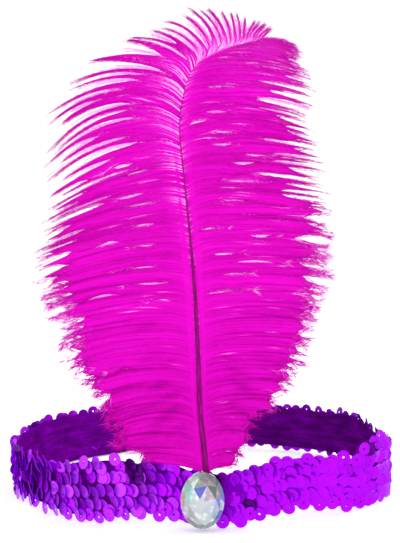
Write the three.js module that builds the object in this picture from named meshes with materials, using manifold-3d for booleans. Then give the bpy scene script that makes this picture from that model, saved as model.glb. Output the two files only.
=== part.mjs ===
// A sequinned elastic headband with one ostrich plume that stands up behind a faceted oval stone.
// Millimetres, +Z up. The band stands on its lower edge with its opening up, and the stone and the plume
// are at its front, towards -Y.
import * as THREE from "three";
import { mergeVertices } from "three/addons/utils/BufferGeometryUtils.js";
import Module from "manifold-3d";

// The loop, measured outside its sequins
const LOOP_WIDTH = 168;
const LOOP_DEPTH = 156;
const LOOP_SQUARENESS = 2.43; // exponent of the rounded outline, where 2 is an ellipse
const WAVE_HEIGHT = 5.2; // how high the soft band lifts off the surface that it stands on

// The sequins and the elastic behind them
const SEQUIN_DIAMETER = 5.4;
const SEQUIN_LAYER = 1.6; // how far the overlapping sequins stand off the elastic
const ROW_COUNT = 5;
const ROW_PITCH = 4.22;
const SCALLOP_PITCH = 6.28; // along the band, from one sequin that stands proud of the edge to the next
const SCALLOP_DEPTH = 1.3;
const SCALLOP_FLAT = 0.5; // how much of a scallop's edge is straight, as a share of its pitch
const ELASTIC_THICKNESS = 1.2;
const ELASTIC_MARGIN = 0.5; // elastic past the threads of the two outer rows
const SEAT_GAP = 0.3; // clearance between pieces that lie against each other

// The stone and the pad that holds it
const STONE_WIDTH = 16.3;
const STONE_HEIGHT = 21.1;
const STONE_GIRDLE = 1.4; // depth of the straight edge
const STONE_CROWN = 3.2; // depth of the cut front, from the edge to the table
const STONE_FACETS = 8; // facets round the table
const STONE_BELT = 0.78; // where the facets round the girdle end, as a share of the outline
const STONE_BELT_DEPTH = 0.62; // how far forward that is, as a share of the crown
const STONE_TABLE = 0.5; // the table, as a share of the outline
const STONE_ASIDE = 0.6; // from the middle of the band towards +X
const PAD_INSET = 1; // how far the pad stays inside the stone's outline
const PAD_WEB = 0.6; // pad behind the quill

// The plume
const QUILL_WIDTH = 2.8;
const QUILL_DEPTH = 2.4;
const QUILL_TIP_SHARE = 0.25; // the quill's thickness at its tip, as a share of that at its foot
const QUILL_TAPER = 0.8; // below 1, the quill thins sooner near its foot
const QUILL_INSERT = 17; // quill below the first barbs
const PLUME_FOOT_ASIDE = 1.9; // from the middle of the band towards +X
const PLUME_CLEARANCE = 1.4; // between the top of the band and the first barbs
const SHAFT_RISE = 156; // from the first barbs to the end of the shaft
const LEFT_REACH = 60; // longest barbs towards -X, and over the top
const RIGHT_REACH = 52; // longest barbs towards +X
const BARB_CUP = 6; // how far the barb ends curl forwards
const LOCK_COUNT = 36; // locks of barbs on each side
const LOCK_CROWDING = 1.5; // above 1, the locks root closer together towards the end of the shaft
const LOCK_THICKNESS = 2.4;
const LOCK_EDGE = 0.5; // thickness of a lock at its end
const LOCK_SLOT = 0.16; // depth of the slots between locks, as a share of the barbs' length
const LOCK_UNEVENNESS = 0.03; // how much shorter one lock is than the next, as such a share
const LOCK_RUFFLE = 1; // how far one lock lies in front of the next

// How finely the curved pieces are faceted
const SHAFT_STEPS = 26;
const SHAFT_SIDES = 8;
const BARB_STEPS = 6;
const PAD_SIDES = 24;

// Where the loop touches the surface, and where it arches over it. turn: share of the way round, from the
// front towards +X. lift: share of WAVE_HEIGHT.
const WAVES = [
  { turn: 0, lift: 0.19 },
  { turn: 0.008, lift: 0 },
  { turn: 0.026, lift: 0 },
  { turn: 0.045, lift: 0.66 },
  { turn: 0.07, lift: 1 },
  { turn: 0.095, lift: 0.85 },
  { turn: 0.135, lift: 0.3 },
  { turn: 0.16, lift: 0.36 },
  { turn: 0.21, lift: 0 },
  { turn: 0.25, lift: 0 },
  { turn: 0.33, lift: 0.25 },
  { turn: 0.43, lift: 0.45 },
  { turn: 0.485, lift: 0 },
  { turn: 0.515, lift: 0 },
  { turn: 0.58, lift: 0.45 },
  { turn: 0.66, lift: 0.4 },
  { turn: 0.75, lift: 0.28 },
  { turn: 0.82, lift: 0.28 },
  { turn: 0.86, lift: 0.42 },
  { turn: 0.885, lift: 0.2 },
  { turn: 0.9, lift: 0 },
  { turn: 0.92, lift: 0 },
  { turn: 0.94, lift: 0.42 },
  { turn: 0.962, lift: 0.62 },
  { turn: 0.985, lift: 0.35 },
  { turn: 1, lift: 0.19 },
];

// The shaft above the first barbs. rise, aside and lean (backwards) are shares of SHAFT_RISE.
const SHAFT = [
  { rise: 0, aside: 0, lean: 0 },
  { rise: 0.133, aside: -0.014, lean: 0.004 },
  { rise: 0.266, aside: -0.019, lean: 0.008 },
  { rise: 0.433, aside: -0.028, lean: 0.012 },
  { rise: 0.567, aside: -0.04, lean: 0.012 },
  { rise: 0.713, aside: -0.055, lean: 0.008 },
  { rise: 0.789, aside: -0.062, lean: 0.001 },
  { rise: 0.836, aside: -0.061, lean: -0.004 },
  { rise: 0.875, aside: -0.054, lean: -0.009 },
  { rise: 0.919, aside: -0.042, lean: -0.018 },
  { rise: 0.95, aside: -0.021, lean: -0.027 },
  { rise: 0.967, aside: 0.005, lean: -0.034 },
  { rise: 0.982, aside: 0.04, lean: -0.04 },
  { rise: 0.992, aside: 0.079, lean: -0.049 },
  { rise: 1, aside: 0.121, lean: -0.055 },
];

// The run of the barbs. root: share of the way up the shaft. out and rise: from the root to the barb's end.
// arch: how far the barb bows above the straight line. All three are shares of the side's reach.
const LEFT_BARBS = [
  { root: 0, out: 0.38, rise: 0.03, arch: 0.02 },
  { root: 0.1, out: 0.63, rise: -0.05, arch: 0.05 },
  { root: 0.2, out: 0.76, rise: -0.07, arch: 0.05 },
  { root: 0.3, out: 0.87, rise: -0.1, arch: 0.05 },
  { root: 0.4, out: 0.95, rise: -0.14, arch: 0.05 },
  { root: 0.5, out: 0.95, rise: -0.2, arch: 0.05 },
  { root: 0.58, out: 0.9, rise: -0.27, arch: 0.05 },
  { root: 0.65, out: 0.84, rise: -0.32, arch: 0.06 },
  { root: 0.69, out: 0.81, rise: -0.27, arch: 0.09 },
  { root: 0.757, out: 0.83, rise: -0.24, arch: 0.155 },
  { root: 0.782, out: 0.81, rise: -0.11, arch: 0.12 },
  { root: 0.83, out: 0.64, rise: 0.03, arch: 0.08 },
  { root: 0.872, out: 0.42, rise: 0.12, arch: 0.04 },
  { root: 0.9, out: 0.25, rise: 0.22, arch: 0.04 },
  { root: 0.943, out: 0.15, rise: 0.24, arch: 0.04 },
  { root: 0.981, out: 0.04, rise: 0.15, arch: 0.02 },
  { root: 1, out: -0.02, rise: 0.07, arch: 0 },
];
const RIGHT_BARBS = [
  { root: 0, out: 0.2, rise: 0.04, arch: 0.01 },
  { root: 0.05, out: 0.44, rise: 0.035, arch: 0.02 },
  { root: 0.1, out: 0.56, rise: 0.03, arch: 0.03 },
  { root: 0.2, out: 0.76, rise: 0.01, arch: 0.035 },
  { root: 0.3, out: 0.92, rise: 0.01, arch: 0.035 },
  { root: 0.4, out: 1.01, rise: -0.005, arch: 0.03 },
  { root: 0.6, out: 1.04, rise: -0.055, arch: 0.035 },
  { root: 0.757, out: 0.995, rise: -0.085, arch: 0.07 },
  { root: 0.785, out: 0.975, rise: -0.065, arch: 0.08 },
  { root: 0.84, out: 0.87, rise: -0.09, arch: 0.055 },
  { root: 0.9, out: 0.66, rise: -0.085, arch: 0.045 },
  { root: 0.962, out: 0.345, rise: -0.05, arch: 0.04 },
  { root: 1, out: 0.16, rise: -0.025, arch: 0.02 },
];

// A column of a table at a place between its rows. The ease is 0 to 1 across the stretch between two rows.
function readTable(rows, key, column, at, ease = (share) => share) {
  const next = Math.max(1, rows.findIndex((row) => row[key] >= at));
  const [low, high] = [rows[next - 1], rows[next]];
  const share = (at - low[key]) / (high[key] - low[key]);
  return THREE.MathUtils.lerp(low[column], high[column], ease(share));
}

// The skin of a body that is carried through a row of rings. Each ring runs counterclockwise, seen by
// someone who looks the way the rings advance. A closed body's last ring meets its first.
function loft(rings, closed = false) {
  const size = rings[0].length;
  const index = [];
  const face = (a, b, c, d) => index.push(a, b, c, a, c, d);
  rings.slice(closed ? 0 : 1).forEach((_, i) => {
    const here = i * size;
    const there = ((i + 1) % rings.length) * size;
    for (let j = 0; j < size; j++) {
      const next = (j + 1) % size;
      face(here + j, there + j, there + next, here + next);
    }
  });
  if (!closed) {
    const last = (rings.length - 1) * size;
    for (let j = 0; j < size / 2 - 1; j++) {
      const across = size - 1 - j;
      face(j, j + 1, across - 1, across);
      face(last + across, last + across - 1, last + j + 1, last + j);
    }
  }
  const geometry = new THREE.BufferGeometry().setFromPoints(rings.flat());
  geometry.setIndex(index);
  return geometry;
}

function piece(name, geometry, finish) {
  const shell = geometry.toNonIndexed();
  shell.computeVertexNormals();
  const mesh = new THREE.Mesh(shell, new THREE.MeshStandardMaterial(finish));
  mesh.name = name;
  return mesh;
}

// The outside of the sequins, once round the head from the front towards +X
class LoopOutline extends THREE.Curve {
  getPoint(turn, target = new THREE.Vector3()) {
    const angle = (turn - 0.25) * 2 * Math.PI;
    const across = Math.abs(Math.cos(angle) / (LOOP_WIDTH / 2)) ** LOOP_SQUARENESS;
    const along = Math.abs(Math.sin(angle) / (LOOP_DEPTH / 2)) ** LOOP_SQUARENESS;
    const radius = (across + along) ** (-1 / LOOP_SQUARENESS);
    return target.set(radius * Math.cos(angle), radius * Math.sin(angle), 0);
  }
}

function outwards(point) {
  const slope = (value, half) => (Math.sign(value) * Math.abs(value / half) ** (LOOP_SQUARENESS - 1)) / half;
  return new THREE.Vector3(slope(point.x, LOOP_WIDTH / 2), slope(point.y, LOOP_DEPTH / 2), 0).normalize();
}

function liftAt(turn) {
  const ease = (share) => THREE.MathUtils.smoothstep(share, 0, 1);
  return WAVE_HEIGHT * readTable(WAVES, "turn", "lift", turn, ease);
}

// Stations stand one scallop apart, so that every ribbon shares the same facets
const outline = new LoopOutline();
outline.arcLengthDivisions = 2000;
const stationCount = Math.round(outline.getLength() / SCALLOP_PITCH);
const stations = Array.from({ length: stationCount }, (_, i) => {
  const turn = i / stationCount;
  const point = outline.getPointAt(turn);
  return { point, outward: outwards(point), lift: liftAt(turn) };
});

// A ribbon round the loop, between two depths inside the outline. Each cut is a place between two stations,
// with the heights of the ribbon's lower and upper edge there.
function ribbon(outer, inner, cuts) {
  const rings = stations.flatMap((from, i) => {
    const to = stations[(i + 1) % stationCount];
    return cuts.map(({ at, low, high }) => {
      const corner = (depth, height) => {
        const place = ({ point, outward, lift }) =>
          point.clone().addScaledVector(outward, -depth).setZ(lift + height);
        return place(from).lerp(place(to), at);
      };
      return [corner(inner, low), corner(outer, low), corner(outer, high), corner(inner, high)];
    });
  });
  return loft(rings, true);
}

const threadHeight = (row) => SEQUIN_DIAMETER / 2 + (row - 1) * ROW_PITCH;
const BAND_HEIGHT = threadHeight(ROW_COUNT) + SEQUIN_DIAMETER / 2;

// One strand of sequins. The lowest and the highest strand have a scalloped free edge.
function sequinRow(row) {
  const middle = threadHeight(row);
  const plain = (ROW_PITCH - SEAT_GAP) / 2;
  const tip = SEQUIN_DIAMETER / 2;
  const notch = tip - SCALLOP_DEPTH;
  const [lowest, highest] = [row === 1, row === ROW_COUNT];
  const cut = (at, free) => ({
    at,
    low: middle - (lowest ? free : plain),
    high: middle + (highest ? free : plain),
  });
  const slope = (1 - SCALLOP_FLAT) / 2;
  const scallop = [cut(0, notch), cut(slope, tip), cut(1 - slope, tip)];
  const cuts = lowest || highest ? scallop : [cut(0, plain)];
  return piece(`sequin_row_${row}`, ribbon(0, SEQUIN_LAYER, cuts), {
    color: 0xa010e6,
    roughness: 0.25,
    metalness: 0.55,
  });
}

function elasticBand() {
  const outer = SEQUIN_LAYER + SEAT_GAP;
  const low = threadHeight(1) - ELASTIC_MARGIN;
  const high = threadHeight(ROW_COUNT) + ELASTIC_MARGIN;
  return piece("elastic_band", ribbon(outer, outer + ELASTIC_THICKNESS, [{ at: 0, low, high }]), {
    color: 0x5c0a86,
    roughness: 0.85,
    metalness: 0,
  });
}

// Depths at the front of the band, from the sequins outwards
const PAD_BACK = -LOOP_DEPTH / 2 - SEAT_GAP;
const QUILL_Y = PAD_BACK - PAD_WEB - SEAT_GAP - QUILL_DEPTH / 2;
const PAD_FRONT = QUILL_Y - QUILL_DEPTH / 2;
const STONE_BACK = PAD_FRONT - SEAT_GAP;
const STONE_MIDDLE_Z = liftAt(0) + BAND_HEIGHT / 2;
const PLUME_FOOT_Z = liftAt(0) + BAND_HEIGHT + PLUME_CLEARANCE;

// The quill's middle line, as a straight foot behind the stone and a curve through the barbs
const shaftPlace = ({ rise, aside, lean }) =>
  new THREE.Vector3(
    PLUME_FOOT_ASIDE + aside * SHAFT_RISE,
    QUILL_Y + lean * SHAFT_RISE,
    PLUME_FOOT_Z + rise * SHAFT_RISE,
  );
const shaftCurve = new THREE.CatmullRomCurve3(SHAFT.map(shaftPlace), false, "centripetal");
const footDirection = shaftCurve.getPointAt(0.01).sub(shaftCurve.getPointAt(0)).setY(0).normalize();
const quillFoot = shaftCurve.getPointAt(0).addScaledVector(footDirection, -QUILL_INSERT);
const quillTaper = (share) => THREE.MathUtils.lerp(1, QUILL_TIP_SHARE, share ** QUILL_TAPER);

// Points round a quill or a channel, across the direction in which it runs
function crossRing(centre, direction, halfWidth, front, back, sides) {
  const across = new THREE.Vector3(direction.z, 0, -direction.x).normalize();
  const depth = new THREE.Vector3().crossVectors(direction, across).normalize();
  return Array.from({ length: sides }, (_, i) => {
    const angle = ((i + 0.5) / sides) * 2 * Math.PI;
    const scale = sides === 4 ? Math.SQRT2 : 1;
    const inwards = Math.sin(angle) * scale;
    return centre
      .clone()
      .addScaledVector(across, -Math.cos(angle) * scale * halfWidth)
      .addScaledVector(depth, inwards * (inwards < 0 ? front : back));
  });
}

function featherShaft() {
  const places = [{ centre: quillFoot, direction: footDirection, share: 0 }];
  for (let i = 0; i <= SHAFT_STEPS; i++) {
    const share = i / SHAFT_STEPS;
    places.push({ centre: shaftCurve.getPointAt(share), direction: shaftCurve.getTangentAt(share), share });
  }
  const rings = places.map(({ centre, direction, share }) => {
    const halfWidth = (QUILL_WIDTH / 2) * quillTaper(share);
    const halfDepth = (QUILL_DEPTH / 2) * quillTaper(share);
    return crossRing(centre, direction, halfWidth, halfDepth, halfDepth, SHAFT_SIDES);
  });
  return piece("feather_shaft", loft(rings), { color: 0x82006e, roughness: 0.5, metalness: 0 });
}

// A place on a barb, from its root (0) to its end (1). side is -1 towards -X and 1 towards +X.
function barbPoint(side, root, along) {
  const table = side < 0 ? LEFT_BARBS : RIGHT_BARBS;
  const reach = side < 0 ? LEFT_REACH : RIGHT_REACH;
  const read = (column) => reach * readTable(table, "root", column, root);
  const chord = new THREE.Vector3(side * read("out"), 0, read("rise"));
  const bow = new THREE.Vector3(-side * chord.z, 0, side * chord.x).normalize();
  return shaftCurve
    .getPointAt(root)
    .addScaledVector(chord, along)
    .addScaledVector(bow, read("arch") * 4 * along * (1 - along));
}

// How full a lock is along its length: half full at the shaft, fullest before the middle, thin at the end
function lockThickness(along, fullness) {
  const swell = Math.sin(Math.PI * THREE.MathUtils.lerp(1 / 6, 1, along));
  return LOCK_EDGE + (LOCK_THICKNESS - LOCK_EDGE) * swell * fullness;
}

// One line across the plume: the thickness of the barbs there, from the end on the left, over the strip
// behind the shaft, to the end on the right. Odd stations are the ridges of locks, even ones their slots.
function plumeRing(station) {
  const share = station / (2 * LOCK_COUNT);
  const root = 1 - (1 - share) ** LOCK_CROWDING;
  const lock = Math.floor(station / 2);
  const ridge = station % 2 === 1;
  const length = ridge ? 1 - LOCK_UNEVENNESS * ((lock * 3) % 4) : 1 - LOCK_SLOT;
  const ruffle = ridge ? LOCK_RUFFLE * (lock % 2 ? 1 : -1) : 0;
  const fullness = ridge ? 1 : 1 / 2;
  const behind = (QUILL_DEPTH / 2) * quillTaper(root) + SEAT_GAP;
  const front = [];
  const back = [];
  for (let j = -BARB_STEPS; j <= BARB_STEPS; j++) {
    const along = (Math.abs(j) / BARB_STEPS) * length;
    const point = barbPoint(Math.sign(j) || 1, root, along);
    point.y += behind + (ruffle - BARB_CUP) * along ** 2;
    front.push(point);
    back.push(point.clone().setY(point.y + lockThickness(along, fullness)));
  }
  return [...back, ...front.reverse()];
}

function plume() {
  const rings = Array.from({ length: 2 * LOCK_COUNT + 1 }, (_, station) => plumeRing(station));
  return piece("plume", loft(rings), { color: 0xe60ac8, roughness: 0.9, metalness: 0 });
}

// An upright oval of points, seen from the front. turn shifts the first point by a share of a step.
function ovalRing(width, height, y, sides, turn = 0) {
  return Array.from({ length: sides }, (_, i) => {
    const angle = ((i + turn) / sides) * 2 * Math.PI;
    return new THREE.Vector3(
      STONE_ASIDE + (width / 2) * Math.cos(angle),
      y,
      STONE_MIDDLE_Z + (height / 2) * Math.sin(angle),
    );
  });
}

// The stone: a flat back, a straight girdle, two belts of facets and a flat table. The girdle has two
// corners for each facet of the table.
function stone() {
  const girdleFront = STONE_BACK - STONE_GIRDLE;
  const corners = 2 * STONE_FACETS;
  const cutRing = (size, depth, sides, turn) =>
    ovalRing(STONE_WIDTH * size, STONE_HEIGHT * size, girdleFront - STONE_CROWN * depth, sides, turn);
  const rings = [
    ovalRing(STONE_WIDTH, STONE_HEIGHT, STONE_BACK, corners),
    cutRing(1, 0, corners),
    cutRing(STONE_BELT, STONE_BELT_DEPTH, STONE_FACETS, 0.5),
    cutRing(STONE_TABLE, 1, STONE_FACETS),
  ];
  const girdleAt = corners;
  const beltAt = 2 * corners;
  const tableAt = beltAt + STONE_FACETS;
  const index = [];
  for (let i = 0; i < corners; i++) {
    const next = (i + 1) % corners;
    const belt = beltAt + Math.floor(i / 2);
    index.push(i, next, girdleAt + next, i, girdleAt + next, girdleAt + i);
    index.push(girdleAt + i, girdleAt + next, belt);
  }
  for (let i = 0; i < STONE_FACETS; i++) {
    const next = (i + 1) % STONE_FACETS;
    const before = (i + STONE_FACETS - 1) % STONE_FACETS;
    index.push(girdleAt + 2 * i, beltAt + i, tableAt + i, girdleAt + 2 * i, tableAt + i, beltAt + before);
    index.push(beltAt + i, tableAt + next, tableAt + i);
  }
  for (let i = 1; i < STONE_FACETS - 1; i++) {
    index.push(tableAt, tableAt + i, tableAt + i + 1);
  }
  for (let i = 1; i < corners - 1; i++) {
    index.push(0, i + 1, i);
  }
  const geometry = new THREE.BufferGeometry().setFromPoints(rings.flat());
  geometry.setIndex(index);
  return piece("stone", geometry, { color: 0xdfe9f5, roughness: 0.05, metalness: 0.1 });
}

// Joining and cutting closed meshes
const wasm = await Module();
wasm.setup();

function toSolid(geometry) {
  const bare = geometry.clone();
  bare.deleteAttribute("normal");
  bare.deleteAttribute("uv");
  const merged = mergeVertices(bare);
  const vertProperties = merged.attributes.position.array;
  return new wasm.Manifold(new wasm.Mesh({ numProp: 3, vertProperties, triVerts: merged.index.array }));
}

function toGeometry(solid) {
  const { vertProperties, triVerts } = solid.getMesh();
  const geometry = new THREE.BufferGeometry();
  geometry.setAttribute("position", new THREE.BufferAttribute(vertProperties, 3));
  geometry.setIndex(new THREE.BufferAttribute(triVerts, 1));
  return geometry;
}

// The pad fills the space between the sequins and the stone, and the quill lies in a channel in its front
function mountingPad() {
  const width = STONE_WIDTH - 2 * PAD_INSET;
  const height = STONE_HEIGHT - 2 * PAD_INSET;
  const block = loft([PAD_FRONT, PAD_BACK].map((y) => ovalRing(width, height, y, PAD_SIDES)));
  const halfWidth = QUILL_WIDTH / 2 + SEAT_GAP;
  const halfDepth = QUILL_DEPTH / 2 + SEAT_GAP;
  const channelEnd = (distance) => {
    const centre = quillFoot.clone().addScaledVector(footDirection, distance);
    return crossRing(centre, footDirection, halfWidth, QUILL_DEPTH, halfDepth, 4);
  };
  const channel = loft([channelEnd(-SEAT_GAP), channelEnd(STONE_HEIGHT)]);
  const pad = toSolid(block).subtract(toSolid(channel));
  return piece("mounting_pad", toGeometry(pad), { color: 0x5a0a80, roughness: 0.95, metalness: 0 });
}

const headband = new THREE.Group();
headband.add(elasticBand());
for (let row = 1; row <= ROW_COUNT; row++) {
  headband.add(sequinRow(row));
}
headband.add(mountingPad(), featherShaft(), plume(), stone());

// The origin lies on the surface that the headband stands on, under the middle of its whole extent
const extent = new THREE.Box3().setFromObject(headband);
headband.position.copy(extent.getCenter(new THREE.Vector3()).negate()).setZ(-extent.min.z);

export default headband;
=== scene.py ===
# %% [markdown]
# # A flapper's feather headband
#
# The real thing is an elastic loop sewn over with overlapping sequins, with one dyed ostrich plume that
# stands up at the front behind a cut acrylic stone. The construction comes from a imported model, which is
# loaded first and stays where it is. Every soft or shiny part then gets a finer surface of its own, in
# metres and in the same frame: +Z is up, -Y is the front and +X is to the right as seen from the front.

import math

import bpy
import numpy as np
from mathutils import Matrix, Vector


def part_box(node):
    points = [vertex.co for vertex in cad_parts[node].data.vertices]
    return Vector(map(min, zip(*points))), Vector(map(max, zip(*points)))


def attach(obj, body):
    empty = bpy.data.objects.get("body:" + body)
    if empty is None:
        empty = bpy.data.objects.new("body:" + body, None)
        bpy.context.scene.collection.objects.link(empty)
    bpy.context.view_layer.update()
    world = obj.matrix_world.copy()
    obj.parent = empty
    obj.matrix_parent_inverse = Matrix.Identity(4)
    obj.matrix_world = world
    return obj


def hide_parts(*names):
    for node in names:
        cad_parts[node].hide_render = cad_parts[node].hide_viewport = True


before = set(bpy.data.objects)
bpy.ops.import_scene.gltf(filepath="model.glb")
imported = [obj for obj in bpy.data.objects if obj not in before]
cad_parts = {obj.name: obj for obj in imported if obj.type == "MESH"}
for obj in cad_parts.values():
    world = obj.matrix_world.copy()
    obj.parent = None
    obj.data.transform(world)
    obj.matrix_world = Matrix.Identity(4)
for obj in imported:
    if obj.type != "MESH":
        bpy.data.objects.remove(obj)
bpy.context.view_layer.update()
MM = 0.001
rng = np.random.default_rng(7)

# %% [markdown]
# The camera comes first, because everything after it is judged through it. The photograph was taken from
# straight in front, close enough for the far half of the loop to look clearly smaller than the near half.
# Fitting the loop's perspective gives the distance and the height. A long lens would flatten the loop, so
# the distance matters more than the focal length.

# %% Camera
loop_low, loop_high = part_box("elastic_band")
LOOP_MIDDLE = np.array([0.0, (loop_low.y + loop_high.y) / 2, 0.0])
CAMERA_DISTANCE = 432 * MM   # from the middle of the loop
CAMERA_HEIGHT = 101.6 * MM   # above the surface that the headband stands on
CAMERA_PITCH = 0.77          # degrees below the horizon
CAMERA_YAW = 0.05            # degrees to the left
FOCAL_LENGTH = 62.7          # for the 36 mm side of the frame, which is the upright one
FRAME_SIDE = 36              # in mm
SEEN_FROM, SEEN_TO = 0.01, 30    # metres in front of the camera

camera = bpy.data.objects.new("camera", bpy.data.cameras.new("camera"))
camera.data.lens = FOCAL_LENGTH
camera.data.sensor_width = FRAME_SIDE
camera.data.clip_start, camera.data.clip_end = SEEN_FROM, SEEN_TO
camera.location = (0, LOOP_MIDDLE[1] - CAMERA_DISTANCE, CAMERA_HEIGHT)
camera.rotation_euler = (math.radians(90 - CAMERA_PITCH), 0, math.radians(CAMERA_YAW))
bpy.context.scene.collection.objects.link(camera)
bpy.context.scene.camera = camera
print("camera, m:", [round(x, 4) for x in camera.location])

# %% [markdown]
# A material here is always the same few steps: a Principled shader, and nodes that feed it. These helpers
# keep each recipe short. A value that is the same everywhere goes straight into the shader's own socket,
# and only what really varies over the surface is linked.

# %% Helpers for materials
def srgb(red, green, blue):
    """A colour as linear numbers, from the 0 to 255 values that a picture shows: each share s becomes
    ((s + 0.055) / 1.055) to the power 2.4."""
    share = np.array([red, green, blue]) / 255
    return (*(((share + 0.055) / 1.055) ** 2.4), 1.0)


def new_material(name, **values):
    """A Principled material. The values are sockets of the shader, with _ for each space in their names."""
    material = bpy.data.materials.new(name)
    material.use_nodes = True
    shader = material.node_tree.nodes["Principled BSDF"]
    for socket, value in values.items():
        shader.inputs[socket.replace("_", " ")].default_value = value
    return material, shader


def add_node(material, kind, inputs=(), **settings):
    """A node of that kind, with its settings and its inputs, each of which is a number, colour or socket."""
    tree = material.node_tree
    node = tree.nodes.new(kind)
    for name, value in settings.items():
        setattr(node, name, value)
    for socket, value in dict(inputs).items():
        if isinstance(value, bpy.types.NodeSocket):
            tree.links.new(value, node.inputs[socket])
        else:
            node.inputs[socket].default_value = value
    return node


def link(material, source, shader, socket):
    """Joins a node's output to one of the shader's sockets."""
    material.node_tree.links.new(source, shader.inputs[socket])


def ramp(material, source, stops):
    """A colour ramp over a value: stops are pairs of a place from 0 to 1 and a colour."""
    node = add_node(material, "ShaderNodeValToRGB", {"Fac": source})
    elements = node.color_ramp.elements
    while len(elements) < len(stops):
        elements.new(0.5)
    for element, (place, colour) in zip(elements, stops):
        element.position = place
        element.color = colour
    return node.outputs["Color"]


def bump(material, height, shader, strength, distance):
    """Feeds a height to the shader's normal. distance is how deep the relief is, in metres."""
    inputs = {"Height": height, "Strength": strength, "Distance": distance}
    node = add_node(material, "ShaderNodeBump", inputs)
    link(material, node.outputs["Normal"], shader, "Normal")


def object_place(material):
    """The place on the object, in metres."""
    return add_node(material, "ShaderNodeTexCoord").outputs["Object"]


def uv_place(material, scale):
    """The place on the piece's own UV map, times a scale for each direction."""
    uv_map = add_node(material, "ShaderNodeUVMap", uv_map="UVMap")
    mapping = add_node(material, "ShaderNodeMapping", {"Vector": uv_map.outputs["UV"], "Scale": scale})
    return mapping.outputs["Vector"]


def point_number(material, name):
    """The number of that name that the mesh holds for each of its points."""
    node = add_node(material, "ShaderNodeAttribute", attribute_name=name, attribute_type="GEOMETRY")
    return node.outputs["Fac"]


def noise(material, place, scale=1, detail=2, distortion=0):
    """Soft noise over a place, as a number that wavers about a half."""
    inputs = {"Vector": place, "Scale": scale, "Detail": detail, "Distortion": distortion}
    return add_node(material, "ShaderNodeTexNoise", inputs).outputs["Fac"]


def between(material, source, low, high, source_low=0, source_high=1):
    """A number that runs from low to high while its source runs from source_low to source_high."""
    inputs = {"Value": source, "From Min": source_low, "From Max": source_high, "To Min": low, "To Max": high}
    return add_node(material, "ShaderNodeMapRange", inputs).outputs["Result"]


def combine(material, operation, first, second):
    """The sum, difference or product of two numbers, by the operation's name."""
    return add_node(material, "ShaderNodeMath", {0: first, 1: second}, operation=operation).outputs["Value"]

# %% [markdown]
# New pieces are grids of points worked out with numpy and handed to a mesh in one go. A grid's faces
# follow from its numbers of rows and columns alone, so one function serves ribbons, rods and petals. Many
# values grow from 0 to 1 over some stretch, or turn round a direction, so those get a function each too.

# %% Helpers for meshes
def grid_faces(rows, columns, wrap_rows=False, wrap_columns=False):
    """Four-sided faces of a grid of points. Each joins a point to the next one in its row and to the two
    after them in the next row, so a ring that runs counterclockwise about its path faces outwards."""
    row = np.arange(rows if wrap_rows else rows - 1)[:, None]
    column = np.arange(columns if wrap_columns else columns - 1)[None, :]
    below, beside = (row + 1) % rows, (column + 1) % columns
    corners = [(row, column), (row, beside), (below, beside), (below, column)]
    return np.stack([down * columns + across for down, across in corners], -1).reshape(-1, 4)


def repeat_faces(faces, copies, points_each):
    """The same faces for each copy of a shape, each copy's points following the last one's."""
    shift = np.arange(copies)[:, None, None] * points_each
    return (faces[None] + shift).reshape(-1, faces.shape[1])


def rod_faces(rings, sides, copies=1):
    """Faces of closed rods, each a row of rings with a flat face at either end."""
    ends = np.array([np.arange(sides)[::-1], (rings - 1) * sides + np.arange(sides)])
    walls = grid_faces(rings, sides, wrap_columns=True)
    return [repeat_faces(faces, copies, rings * sides) for faces in (walls, ends)]


def circle(count):
    """Even angles round one turn, in radians."""
    return np.arange(count) / count * 2 * np.pi


def unit(vectors):
    """Vectors of length one: each is divided by its own length."""
    return vectors / np.maximum(np.linalg.norm(vectors, axis=-1, keepdims=True), 1e-12)


def square_to(directions):
    """Two ways square to each direction and to each other. The first is square to the Y axis as well."""
    across = unit(np.cross(directions, [0.0, 1.0, 0.0]))
    return across, np.cross(directions, across)


def ring_round(directions, sides):
    """A circle of radius one round each direction: the cosine of an angle times one way across it, plus the
    sine times the other."""
    across, other = square_to(directions)
    a = circle(sides)[:, None]
    return np.cos(a) * across[..., None, :] + np.sin(a) * other[..., None, :]


def grow(value, start, over):
    """0 up to start, 1 from start plus over on, and straight between them."""
    return np.clip((value - start) / over, 0, 1)


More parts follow.
